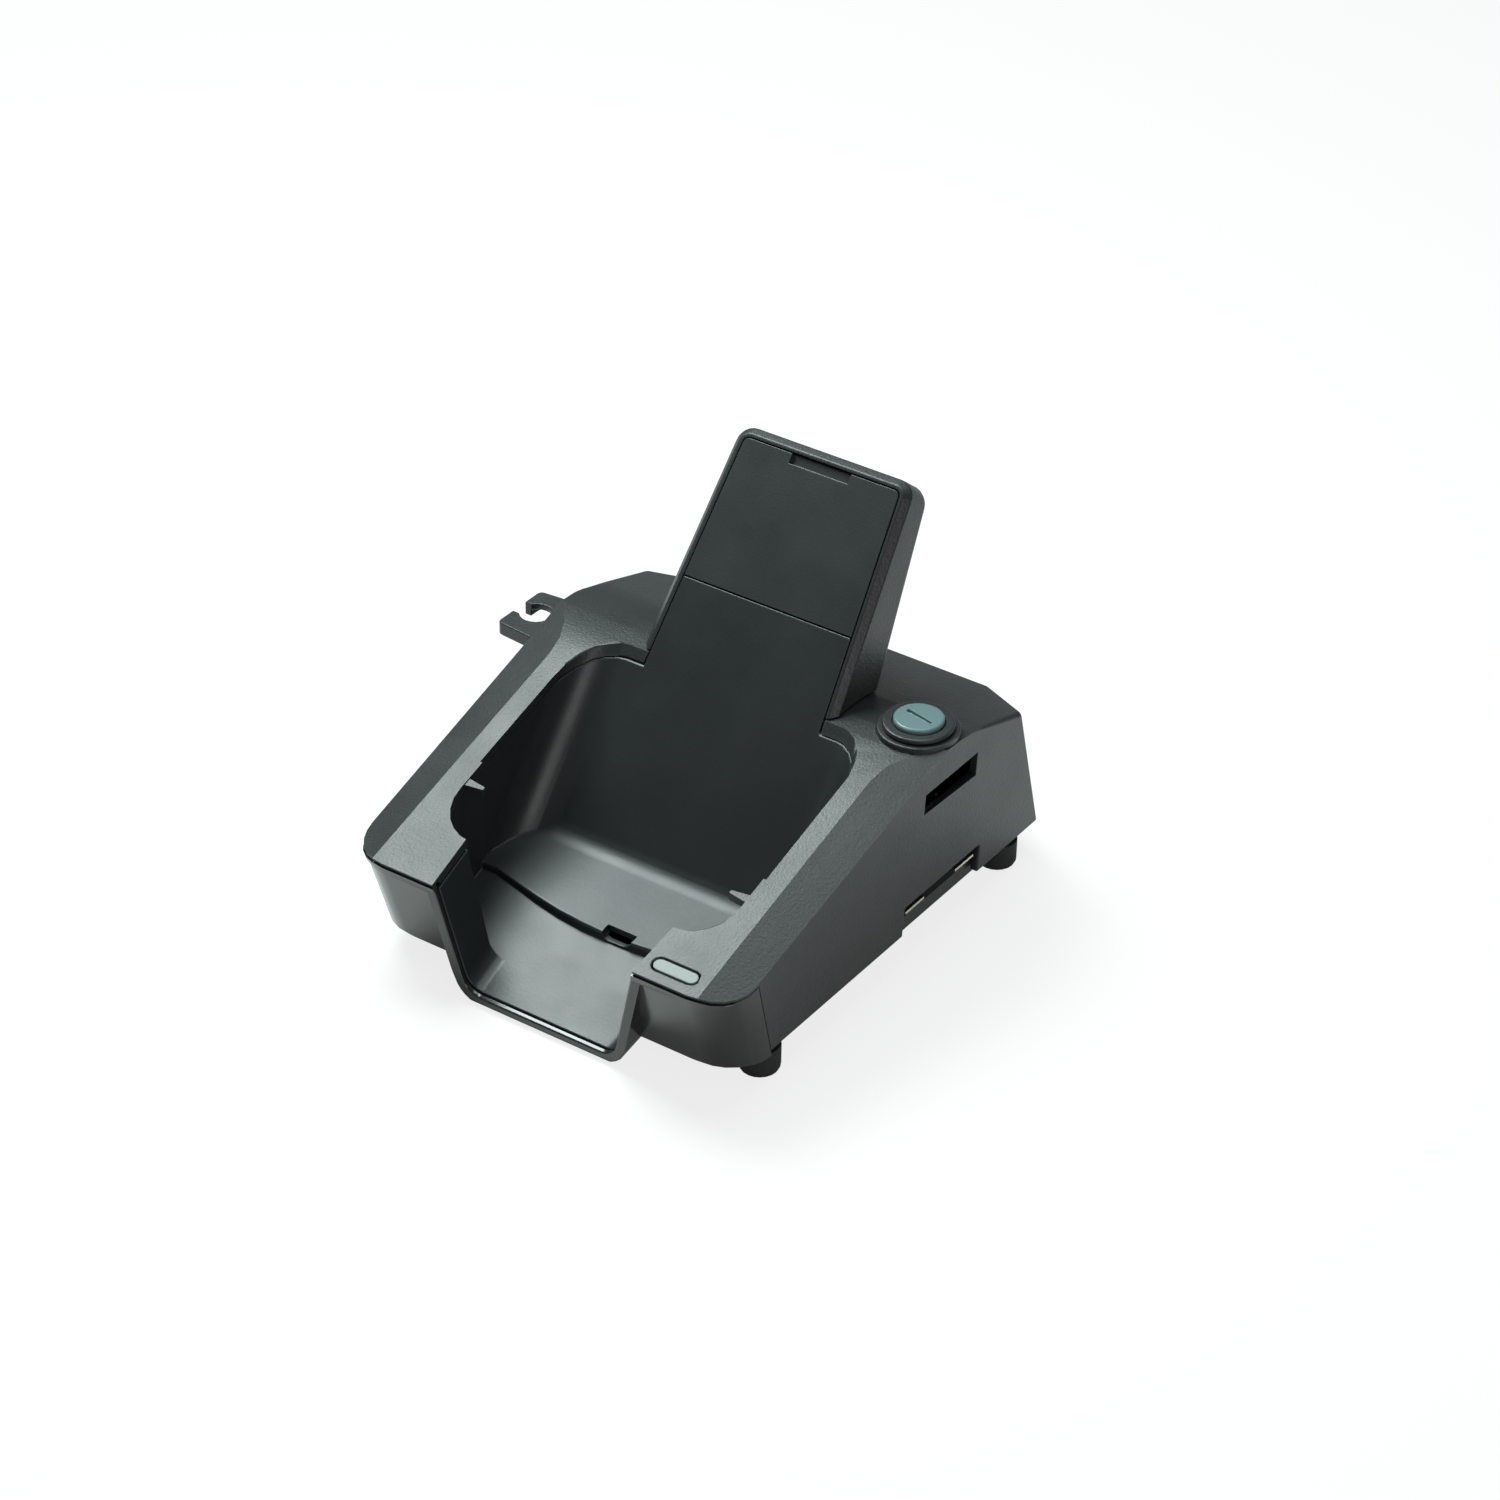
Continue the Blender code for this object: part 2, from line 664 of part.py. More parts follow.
def finish(thing, finish_of, parent):
    """Name the material, tidy the mesh and hang the piece on its parent."""
    colour, roughness, metallic = finish_of
    material = bpy.data.materials.new(thing.name)
    material.use_nodes = True
    shader = material.node_tree.nodes["Principled BSDF"]
    shader.inputs["Base Color"].default_value = (*colour, 1.0)
    shader.inputs["Roughness"].default_value = roughness
    shader.inputs["Metallic"].default_value = metallic
    shape = bmesh.new()
    shape.from_mesh(thing.data)
    bmesh.ops.remove_doubles(shape, verts=shape.verts, dist=WELD)
    bmesh.ops.dissolve_degenerate(shape, edges=shape.edges, dist=WELD)
    shape.to_mesh(thing.data)
    shape.free()
    thing.data.materials.clear()
    thing.data.materials.append(material)
    thing.data.shade_smooth()
    thing.data.set_sharp_from_angle(angle=SHARP_ANGLE)
    thing.parent = parent
    return thing


# Pieces


def post_places():
    """Screw posts of the housing, in plan."""
    x = HALF_WIDTH - POST_INSET
    return [(s * x, y) for y in (from_nose(POST_FRONT), REAR_REACH - POST_REAR) for s in (1, -1)]


def backrest_screw_places():
    """Screw places on the deck under the backrest: x and the point on the deck."""
    y = REST_POINT.y + (REST_FLOOR + REST_TOP_DEPTH) / 2
    return [Vector((s * REST_TOP_HALF / 2, y, deck_z(y))) for s in (1, -1)]


def fork_screw_places():
    """Fixing holes of the link fork, in plan."""
    x = FLANGE_X + FLANGE_DEPTH / 2
    return [(x, LINK_Y + side * FORK_SCREW_PITCH / 2) for side in (1, -1)]


def deck_frame(point):
    return Matrix.Translation(point) @ Matrix.Rotation(-DECK_SLOPE, 4, "X")


def lens_frame():
    x = HALF_WIDTH - LENS_IN
    y = from_nose(LENS_BACK)
    return Matrix.Translation((x, y, band_z(y))) @ Matrix.Rotation(BAND_SLOPE, 4, "X")


def tooth(side):
    """Thin retaining tooth on the rim of the well."""
    y = from_nose(TOOTH_BACK)
    root = POCKET_HALF + WALL
    tip = POCKET_HALF - TOOTH_REACH
    plan = [(root, -TOOTH_ROOT / 2), (root, TOOTH_ROOT / 2), (tip, TOOTH_TIP / 2), (tip, -TOOTH_TIP / 2)]
    layers = []
    for drop in (WALL, GAP):
        layers.append([(side * x, y + dy, band_z(y + dy) - drop) for x, dy in plan])
    return loft("tooth", layers)


def top_housing(root):
    shell = body("top_housing", 0.0, SKIRT_Z)
    cut(shell, body("inside", WALL, -FAR))
    for x, y in post_places():
        post = rod("post", POST_RADIUS, POST_FOOT_Z, FAR, (x, y))
        join(shell, keep(post, body("under_roof", WALL / 2, -FAR)))
    for centre in fork_screw_places():
        post = rod("post", POST_RADIUS, FLANGE_TOP_Z + GAP, FAR, centre)
        join(shell, keep(post, body("under_roof", WALL / 2, -FAR)))
    lock = (LOCK_X, LINK_Y)
    boss_low = BOSS_TOP_Z - BOSS_DEPTH
    join(shell, rod("boss", BOSS_RADIUS, boss_low, BOSS_TOP_Z, lock, LOCK_STEPS))
    board_high = -LENS_DEPTH - LED_SIZE[2] - GAP * 2
    led_post = rod("post", LED_POST_RADIUS, board_high + GAP, -WALL / 2, LED_POST, SMALL_STEPS)
    peg_end = board_high - LED_BOARD[2] * 2
    join(led_post, rod("peg", LED_PEG_RADIUS, peg_end, -WALL, LED_POST, SMALL_STEPS))
    join(shell, placed(led_post, lens_frame()))
    seat = under_roof(panel_zone(0.0), PART_DROP)
    cut(shell, cut(seat, column("core", WALL + GAP, -FAR)), cavity(0.0))
    join(shell, tooth(1), tooth(-1))
    cut(shell, rest_plate("tongue", STRIP, -FAR / 4, TONGUE_TOP, -INLAY - GAP, WALL))
    sleeve = STEM_RADIUS + SLEEVE_WALL + GAP * 2
    cut(shell, rod("bore", sleeve, 0.0, FAR, lock))
    slot = (HALF_WIDTH - WALL * 2, LINK_Y - SLOT_HALF, SLOT_LOW_Z)
    cut(shell, box("slot", slot, (FAR, LINK_Y + SLOT_HALF, SLOT_HIGH_Z)))
    half_bay = BAY_LENGTH / 2
    bay = (HALF_WIDTH - WALL * 2, BAY_MID_Y - half_bay, 0.0)
    cut(shell, box("bay", bay, (FAR, BAY_MID_Y + half_bay, BAY_HIGH_Z)))
    low = (-FAR, LINK_Y - FORK_HALF - GAP, FORK_LOW_Z - GAP)
    high = (-HALF_WIDTH + WALL * 2, LINK_Y + FORK_HALF + GAP, FORK_TOP_Z + GAP)
    cut(shell, box("window", low, high))
    for y in contact_places():
        radius = PIN_CONTACT_RADIUS + GAP * 2
        hole = rod("hole", radius, -FAR, WALL * 2 - HALF_WIDTH, (-CONTACT_Z, y))
        cut(shell, placed(hole, Matrix.Rotation(math.pi / 2, 4, "Y")))
    cut(shell, placed(prism_z("hole", lens_outline(GAP), -LENS_DEPTH / 2, LENS_DEPTH), lens_frame()))
    for x, y in post_places():
        cut(shell, rod("pilot", SCREW_HOLE, 0.0, POST_FOOT_Z + SCREW_GRIP, (x, y), SMALL_STEPS))
    for centre in fork_screw_places():
        high = FORK_LOW_Z + SCREW_GRIP
        cut(shell, rod("pilot", SCREW_HOLE, FORK_LOW_Z, high, centre, SMALL_STEPS))
    for place in backrest_screw_places():
        hole = rod("hole", SCREW_HOLE, -WALL * 2, WALL * 2, steps=SMALL_STEPS)
        seat = rod("seat", SCREW_HEAD + GAP, -WALL * 3, -SPOT_FACE)
        cut(shell, placed(hole, deck_frame(place)), placed(seat, deck_frame(place)))
    return finish(shell, CHARCOAL, root)


def lens_outline(grow):
    return stadium(LENS_LENGTH + grow * 2, LENS_WIDTH + grow * 2)


def contact_places():
    """Positions of the two link contacts along the side."""
    half = BAY_LENGTH / 2 - BLADE_END
    return [BAY_MID_Y - half, BAY_MID_Y + half]


def front_panel(root):
    """Glossy panel with a proud bead along its top and the rim round the chute."""
    panel = column("front_panel", 0.0, PANEL_LOW_Z)
    bead = column("bead", -BEAD_PROUD, PANEL_LOW_Z)
    rim = column("rim", 0.0, LIP_BOTTOM_Z, RIM_LEAN)
    join(panel, cut(bead, under_band(PART_DROP + BEAD_HEIGHT)), keep(rim, chute(LIP_RIM)))
    cut(panel, column("inside", WALL, -FAR))
    keep(panel, panel_zone(GAP))
    under_roof(panel, PART_DROP + GAP)
    tray_end = column("tray_end", RIM_T, -FAR, RIM_LEAN)
    cut(panel, keep(tray_end, chute(TRAY_WALL + GAP)), chute(0.0))
    return finish(panel, GLOSS_BLACK, root)


def cradle_tray(root):
    tray = cavity(TRAY_WALL)
    tray.name = "cradle_tray"
    limit = column("limit", WALL + GAP, -FAR)
    chute_end = column("chute_end", RIM_T + GAP, -FAR, RIM_LEAN)
    under_roof(join(limit, keep(chute_end, chute(TRAY_WALL + GAP))), WALL + GAP)
    join(limit, rest_plate("tongue", STRIP + GAP, -FAR / 4, TONGUE_TOP, -INLAY, WALL))
    keep(tray, limit)
    for side in (1, -1):
        reach = TRAY_WALL + COIL_T + FERRITE_T + GAP * 2
        boss = rod("boss", POST_RADIUS, -reach, -TRAY_WALL / 2, (side * BRACKET_HOLE, -COIL_DOWN))
        join(tray, placed(boss, REST_FRAME))
    cut(tray, cavity(0.0))
    for side in (1, -1):
        centre = (side * BRACKET_HOLE, -COIL_DOWN)
        pilot = rod("pilot", SCREW_HOLE, -FAR / 4, -TRAY_WALL, centre, SMALL_STEPS)
        cut(tray, placed(pilot, REST_FRAME))
    ridge = from_nose(RIDGE_BACK)
    floor = LIP_FLOOR_Z + (ridge - from_nose(LIP_BACK)) * math.tan(CHUTE_SLOPE)
    outline = stadium(DRAIN_WIDTH, DRAIN_HEIGHT)
    drain = prism_y("drain", outline, ridge - TRAY_WALL, ridge + TRAY_WALL + DRAIN_HEIGHT / 3)
    middle = floor + (TRAY_WALL + DRAIN_HEIGHT) / 2
    cut(tray, placed(drain, Matrix.Translation((DRAIN_X, 0.0, middle))))
    return finish(tray, DARK_LINER, root)


def rest_depth(s):
    """Depth of the backrest behind its front face, at a distance up that face."""
    return REST_TOP_DEPTH + (REST_LENGTH - s) * math.tan(REST_TAPER)


def rest_outline(trim, low):
    """Front view of the backrest with its rounded top corners, moved inwards by trim."""
    top = REST_LENGTH - trim
    foot = (rest_half(low) - trim, low)
    corner = (rest_half(top) - trim, top)
    return mirrored([foot] + rounded(foot, corner, (0.0, top), max(REST_ROUND - trim, WALL / 2)))


def rest_prism(name, trim, low, back, front):
    """The backrest's outline between two depths along its normal."""
    return placed(prism_z(name, rest_outline(trim, low), back, front), REST_FRAME)


def backrest_shell(root):
    """Wedge behind the backrest, hollow from the front, standing on the deck."""
    low = -REST_FLOOR
    layers = [[(x, s, 0.0) for x, s in rest_outline(REST_CHAMFER, low)]]
    layers.append([(x, s, -REST_CHAMFER) for x, s in rest_outline(0.0, low)])
    for across, along in arc((0.0, 0.0), REST_EDGE, 0.0, math.pi / 2, ROUND_STEPS // 2):
        outline = rest_outline(REST_EDGE - across, low)
        layers.append([(x, s, REST_EDGE - along - rest_depth(s)) for x, s in outline])
    shell = placed(loft("backrest_shell", layers), REST_FRAME)
    cut(shell, rest_prism("recess", STRIP, low - STRIP, -INLAY - GAP, FAR))
    hollow_trim = STRIP + REST_LEDGE
    outline = rest_outline(hollow_trim, REST_FLOOR)
    hollow = [[(x, s, 0.0) for x, s in outline]]
    hollow.append([(x, s, REST_WALL - rest_depth(s)) for x, s in outline])
    cut(shell, placed(loft("hollow", hollow), REST_FRAME))
    cut(shell, body("deck", -GAP, -FAR))
    for place in backrest_screw_places():
        pilot = rod("pilot", SCREW_HOLE, -WALL * 2, SCREW_GRIP, steps=SMALL_STEPS)
        cut(shell, placed(pilot, deck_frame(place)))
    return finish(shell, CHARCOAL, root)


def backrest_panel(root):
    """Front inlay of the backrest, with a finger notch at its upper edge."""
    panel = rest_prism("backrest_panel", STRIP + GAP, TONGUE_TOP + GAP, -INLAY, 0.0)
    top = REST_LENGTH - STRIP
    low = (-NOTCH_HALF, top - NOTCH_HEIGHT, -NOTCH_DEPTH)
    cut(panel, placed(box("notch", low, (NOTCH_HALF, top + STRIP, STRIP)), REST_FRAME))
    return finish(panel, DARK_LINER, root)


def board_places():
    """Fixing holes of the circuit board, in plan."""
    rear = REAR_REACH - BOARD_REAR
    reach = BOARD_HALF - BOARD_HOLE_INSET
    ends = (rear - BOARD_HOLE_INSET, rear - BOARD_LENGTH + BOARD_HOLE_INSET)
    return [(s * reach, y) for y in ends for s in (1, -1)]


def foot_places():
    """Named feet and their axes, in plan."""
    x = HALF_WIDTH - FOOT_INSET
    rows = (("front", from_nose(FOOT_FRONT)), ("rear", REAR_REACH - FOOT_REAR))
    sides = (("right", 1), ("left", -1))
    return [(f"foot_{row}_{side}", s * x, y) for row, y in rows for side, s in sides]


def bottom_plate(root):
    """Pan that closes the housing from below, notched for the chute."""
    levels = (PLATE_BOTTOM_Z, PLATE_TOP_Z)
    sections = [[(x, y, z) for x, y in plan_outline(z, PLATE_INSET)] for z in levels]
    plate = loft("bottom_plate", sections)
    levels = (PLATE_FLOOR_Z, PLATE_TOP_Z + PLATE_RIM)
    sections = [[(x, y, z) for x, y in plan_outline(z, PLATE_INSET + PLATE_RIM)] for z in levels]
    cut(plate, loft("pan", sections))
    for x, y in post_places():
        join(plate, rod("boss", PLATE_BOSS, PLATE_BOTTOM_Z, PLATE_TOP_Z, (x, y)))
    for x, y in board_places():
        join(plate, rod("boss", POST_RADIUS, PLATE_BOTTOM_Z, BOARD_Z - GAP, (x, y)))
    cut(plate, cavity(TRAY_WALL + GAP))
    for x, y in post_places():
        cut(plate, rod("counterbore", SCREW_HEAD + GAP, 0.0, PLATE_TOP_Z - PLATE_FLOOR, (x, y)))
        cut(plate, rod("hole", SCREW_HOLE, 0.0, FAR, (x, y), SMALL_STEPS))
    for x, y in board_places():
        cut(plate, rod("pilot", SCREW_HOLE, PLATE_FLOOR_Z, FAR, (x, y), SMALL_STEPS))
    for _, x, y in foot_places():
        cut(plate, rod("hole", FOOT_SPIGOT + GAP, 0.0, FAR, (x, y)))
    return finish(plate, CHARCOAL, root)


def feet(root):
    for name, x, y in foot_places():
        top = PLATE_BOTTOM_Z - GAP
        edge = (FOOT_RADIUS - FOOT_ROUND, FOOT_ROUND)
        profile = arc(edge, FOOT_ROUND, -math.pi / 2, 0.0, ROUND_STEPS // 3)
        profile += [(FOOT_RADIUS, top), (FOOT_SPIGOT, top), (FOOT_SPIGOT, PLATE_FLOOR_Z - GAP)]
        foot = turned(name, profile)
        finish(foot, RUBBER, root).location = (x, y, 0.0)


def housing_screws(root):
    for i, (x, y) in enumerate(post_places()):
        seat = PLATE_TOP_Z - PLATE_FLOOR - GAP
        piece = screw(f"housing_screw_{i + 1}", POST_FOOT_Z + SCREW_GRIP - GAP - seat)
        finish(piece, STEEL, root).location = (x, y, seat)


def backrest_screws(root):
    for i, place in enumerate(backrest_screw_places()):
        piece = screw(f"backrest_screw_{i + 1}", SPOT_FACE + SCREW_GRIP - GAP)
        under = Matrix.Translation((0.0, 0.0, -SPOT_FACE - GAP))
        finish(piece, STEEL, root).matrix_local = deck_frame(place) @ under


def fork_prong(trim):
    """Half of the fork's plan outside the housing, from its tip to the side wall."""
    tip = (-HALF_WIDTH - FORK_REACH + trim, FORK_TIP_HALF - trim)
    wall = (-HALF_WIDTH, FORK_HALF - trim)
    return rounded((tip[0], 0.0), tip, wall, FORK_TIP_ROUND, ROUND_STEPS // 2) + [wall]


def link_fork(root):
    """Flat C-shaped fork that reaches into the neighbouring cradle's slot."""
    flange_end = FLANGE_X + FLANGE_DEPTH
    half = fork_prong(0.0) + [(FLANGE_X, FORK_HALF), (FLANGE_X, FLANGE_HALF), (flange_end, FLANGE_HALF)]
    fork = prism_z("link_fork", mirrored_y(half), FORK_LOW_Z, FORK_TOP_Z)
    cut(fork, prism_z("hollow", mirrored_y(fork_prong(FORK_RIM)), 0.0, FORK_TOP_Z - FORK_WEB))
    cut(fork, box("step", (-HALF_WIDTH - GAP, -FAR, FLANGE_TOP_Z), (FAR, FAR, FAR)))
    eye = -HALF_WIDTH - LOCK_INSET
    cut(fork, rod("eye", CAM_RADIUS + EYE_CLEARANCE, 0.0, FAR, (eye, 0.0)))
    mouth = FORK_MOUTH / 2
    cut(fork, box("mouth", (-FAR, -mouth, 0.0), (eye, mouth, FAR)))
    placed(fork, Matrix.Translation((0.0, LINK_Y, 0.0)))
    for x, y in fork_screw_places():
        cut(fork, rod("hole", SCREW_HOLE, 0.0, FAR, (x, y), SMALL_STEPS))
    return finish(fork, CHARCOAL, root)


def fork_screws(root):
    for i, (x, y) in enumerate(fork_screw_places()):
        piece = screw(f"fork_screw_{i + 1}", SCREW_GRIP - GAP)
        finish(piece, STEEL, root).location = (x, y, FORK_LOW_Z - GAP)


def lock_bezel(root):
    """Flanged bush that the lock knob turns in."""
    bore = STEM_RADIUS + GAP
    sleeve = bore + SLEEVE_WALL
    low = BOSS_TOP_Z - BOSS_DEPTH
    flange = BOSS_TOP_Z + GAP
    lip = BEZEL_SEAT_Z + BEZEL_LIP
    seat = KNOB_RADIUS + GAP
    profile = [
        (bore, low),
        (sleeve, low),
        (sleeve, flange),
        (BEZEL_RADIUS, flange),
        (BEZEL_RADIUS, lip - BEZEL_LIP / 2),
        (BEZEL_RADIUS - BEZEL_LIP, lip),
        (seat, lip),
        (seat, BEZEL_SEAT_Z),
        (bore, BEZEL_SEAT_Z),
    ]
    bezel = ring("lock_bezel", profile, LOCK_STEPS)
    finish(bezel, CHARCOAL, root).location = (LOCK_X, LINK_Y, 0.0)


def lock_knob(axis):
    """Coin-slot knob with the stem that carries the cam."""
    top = KNOB_LOW_Z + KNOB_T
    profile = [
        (PIN_RADIUS, CAM_LOW_Z + CAM_WEB + GAP),
        (PIN_RADIUS, CAM_TOP_Z + GAP),
        (STEM_RADIUS, CAM_TOP_Z + GAP),
        (STEM_RADIUS, KNOB_LOW_Z),
        (KNOB_RADIUS, KNOB_LOW_Z),
        (KNOB_RADIUS, top - KNOB_STEP),
        (KNOB_RADIUS - KNOB_STEP, top),
    ]
    knob = turned("lock_knob", profile, LOCK_STEPS)
    reach = KNOB_RADIUS - KNOB_RIM
    half = KNOB_SLOT_WIDTH / 2
    slot = box("slot", (-reach, -half, top - KNOB_SLOT_DEPTH), (reach, half, FAR))
    cut(knob, placed(slot, Matrix.Rotation(KNOB_SLOT_TURN, 4, "Z")))
    cut(knob, rod("pilot", SCREW_HOLE, 0.0, CAM_TOP_Z - GAP, steps=SMALL_STEPS))
    return finish(knob, TEAL_GREY, axis)


def lock_cam(axis):
    """Flatted barrel that slips through the fork's mouth and locks when turned."""
    collar = CAM_TOP_Z - COLLAR_T
    profile = [(CAM_RADIUS, CAM_LOW_Z), (CAM_RADIUS, collar), (COLLAR_RADIUS, collar)]
    profile += [(COLLAR_RADIUS, CAM_TOP_Z)]
    cam = turned("lock_cam", profile)
    for side in (1, -1):
        near = side * CAM_FLATS / 2
        far = side * FAR
        low = (-FAR, min(near, far), 0.0)
        cut(cam, box("flat", low, (FAR, max(near, far), collar)))
    cut(cam, rod("socket", PIN_RADIUS + GAP, CAM_LOW_Z + CAM_WEB, FAR))
    cut(cam, rod("hole", SCREW_HOLE, 0.0, FAR, steps=SMALL_STEPS))
    return finish(cam, STEEL, axis)


def cam_screw(axis):
    piece = screw("cam_screw", CAM_TOP_Z - CAM_LOW_Z - GAP)
    finish(piece, STEEL, axis).location = (0.0, 0.0, CAM_LOW_Z - GAP)


def lock_washer(axis):
    """Spring washer between the cam's collar and the bush."""
    low = CAM_TOP_Z + GAP
    inner = STEM_RADIUS + GAP
    high = BOSS_TOP_Z - BOSS_DEPTH - GAP
    section = [(inner, low), (COLLAR_RADIUS, low), (COLLAR_RADIUS, high), (inner, high)]
    washer = ring("lock_washer", section)
    return finish(washer, STEEL, axis)


def contact_block(name, side):
    """Insulating block behind one side wall, standing on the bottom plate's rim."""
    outer = CONTACT_X if side > 0 else half_at(POST_FOOT_Z) - WALL - GAP
    inner = CONTACT_X - CONTACT_DEPTH
    half = BAY_LENGTH / 2 - GAP
    low_x, high_x = sorted((side * inner, side * outer))
    low = (low_x, BAY_MID_Y - half, POST_FOOT_Z)
    return box(name, low, (high_x, BAY_MID_Y + half, BAY_HIGH_Z - GAP))


def link_socket(root):
    """Block with the two contact blades, open to the bay in the right wall."""
    block = contact_block("link_socket", 1)
    half = BLADE_LENGTH / 2 + GAP
    thick = BLADE_T / 2 + GAP
    for y in contact_places():
        low = (BLADE_X - GAP, y - half, CONTACT_Z - thick)
        cut(block, box("slot", low, (FAR, y + half, CONTACT_Z + thick)))
    return finish(block, DARK_LINER, root)


def link_plug(root):
    """Block with the bores of the two sprung pins, behind the left wall."""
    block = contact_block("link_plug", -1)
    end = -HALF_WIDTH - PIN_PROUD + PIN_LENGTH + PIN_TRAVEL + GAP * 2
    for y in contact_places():
        bore = rod("bore", PIN_CONTACT_RADIUS + GAP, -FAR, end, (-CONTACT_Z, y))
        cut(block, placed(bore, Matrix.Rotation(math.pi / 2, 4, "Y")))
    return finish(block, DARK_LINER, root)


def socket_blades(root):
    for i, y in enumerate(contact_places()):
        low = (BLADE_X, -BLADE_LENGTH / 2, -BLADE_T / 2)
        high = (CONTACT_X + BLADE_PROUD, BLADE_LENGTH / 2, BLADE_T / 2)
        blade = box(f"socket_blade_{i + 1}", low, high)
        finish(blade, CONTACT, root).location = (0.0, y, CONTACT_Z)


def contact_pins(root):
    """Sprung pins that press inwards along +X when two cradles meet."""
    for i, y in enumerate(contact_places()):
        radius = PIN_CONTACT_RADIUS
        profile = [(PIN_TIP, 0.0), (radius, PIN_TIP), (radius, PIN_LENGTH)]
        pin = turned(f"contact_pin_{i + 1}", profile)
        placed(pin, Matrix.Rotation(math.pi / 2, 4, "Y"))
        finish(pin, CONTACT, root).location = (-HALF_WIDTH - PIN_PROUD, y, CONTACT_Z)


def circuit_board(root):
    rear = REAR_REACH - BOARD_REAR
    low = (-BOARD_HALF, rear - BOARD_LENGTH, BOARD_Z)
    board = box("circuit_board", low, (BOARD_HALF, rear, BOARD_Z + BOARD_T))
    for x, y in board_places():
        cut(board, rod("hole", SCREW_HOLE, 0.0, FAR, (x, y), SMALL_STEPS))
    finish(board, BOARD_GREEN, root)
    for i, (x, y) in enumerate(board_places()):
        grip = BOARD_Z + BOARD_T - PLATE_FLOOR_Z
        piece = placed(screw(f"board_screw_{i + 1}", grip), Matrix.Rotation(math.pi, 4, "X"))
        finish(piece, STEEL, root).location = (x, y, BOARD_Z + BOARD_T + GAP)


def charging_set(root):
    """Coil, ferrite and bracket on the back of the tray's rear wall."""
    seat = -TRAY_WALL - GAP
    coil_low = seat - COIL_T
    ferrite_high = coil_low - GAP
    ferrite_low = ferrite_high - FERRITE_T
    bracket_high = ferrite_low - GAP
    bracket_low = bracket_high - BRACKET_T
    middle = Matrix.Translation((0.0, -COIL_DOWN, 0.0))
    place = REST_FRAME @ middle
    section = [(COIL_INNER, coil_low), (COIL_OUTER, coil_low), (COIL_OUTER, seat), (COIL_INNER, seat)]
    finish(placed(ring("charging_coil", section, LOCK_STEPS), place), COPPER, root)
    low = (-FERRITE_HALF, -FERRITE_HALF, ferrite_low)
    tile = box("ferrite_plate", low, (FERRITE_HALF, FERRITE_HALF, ferrite_high))
    finish(placed(tile, place), FERRITE, root)
    low = (-BRACKET_HALF_X, -BRACKET_HALF_S, bracket_low)
    bracket = box("coil_bracket", low, (BRACKET_HALF_X, BRACKET_HALF_S, bracket_high))
    for side in (1, -1):
        cut(bracket, rod("hole", SCREW_HOLE, -FAR, FAR, (side * BRACKET_HOLE, 0.0), SMALL_STEPS))
    finish(placed(bracket, place), DARK_LINER, root)
    for i, side in enumerate((1, -1)):
        piece = screw(f"bracket_screw_{i + 1}", -TRAY_WALL - GAP - bracket_low)
        seat_point = Matrix.Translation((side * BRACKET_HOLE, 0.0, bracket_low - GAP))
        finish(placed(piece, place @ seat_point), STEEL, root)


def status_light(root):
    """Lens in the band, with its LED on a small board staked to a post of the housing."""
    frame = lens_frame()
    lens = prism_z("status_lens", lens_outline(0.0), -LENS_DEPTH, 0.0)
    finish(placed(lens, frame), LENS_WHITE, root)
    led_high = -LENS_DEPTH - GAP
    led_low = led_high - LED_SIZE[2]
    half_x, half_y = LED_SIZE[0] / 2, LED_SIZE[1] / 2
    led = box("status_led", (-half_x, -half_y, led_low), (half_x, half_y, led_high))
    finish(placed(led, frame), LED_WHITE, root)
    board_high = led_low - GAP
    board_low = board_high - LED_BOARD[2]
    half_x = LED_BOARD[0] / 2
    board = box("led_board", (-half_x, -half_y, board_low), (half_x, LED_BOARD[1] - half_y, board_high))
    cut(board, rod("hole", LED_PEG_RADIUS + GAP, -FAR, FAR, LED_POST, SMALL_STEPS))
    finish(placed(board, frame), BOARD_GREEN, root)


def centre_over_footprint(root):
    """Move the root so that the part's box stands on z = 0, centred over the origin."""
    bpy.context.view_layer.update()
    corners = [
        thing.matrix_world @ Vector(corner)
        for thing in bpy.data.objects
        if thing.type == "MESH"
        for corner in thing.bound_box
    ]
    middle = [(min(c[i] for c in corners) + max(c[i] for c in corners)) / 2 for i in (0, 1)]
    root.location = (-middle[0], -middle[1], -min(c.z for c in corners))


def main():
    for thing in list(bpy.data.objects):
        bpy.data.objects.remove(thing)
    root = new_object("cradle", None)
    axis = new_object("lock_axis", None)
    axis.parent = root
    axis.location = (LOCK_X, LINK_Y, 0.0)
    for piece in (top_housing, front_panel, cradle_tray, backrest_shell, backrest_panel, bottom_plate):
        piece(root)
    for group in (feet, housing_screws, backrest_screws, link_fork, fork_screws, lock_bezel):
        group(root)
    for piece in (lock_knob, lock_cam, cam_screw, lock_washer):
        piece(axis)
    for group in (link_socket, link_plug, socket_blades, contact_pins):
        group(root)
    for group in (circuit_board, charging_set, status_light):
        group(root)
    centre_over_footprint(root)


main()
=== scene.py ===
"""Dresses the charging cradle: eased mouldings, finishes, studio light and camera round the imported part."""

import json
import math

import bmesh
import bpy
import numpy as np
from bpy.props import FloatProperty, FloatVectorProperty, IntProperty, PointerProperty
from mathutils import Matrix, Vector
from mathutils.bvhtree import BVHTree
from mathutils.geometry import intersect_point_line

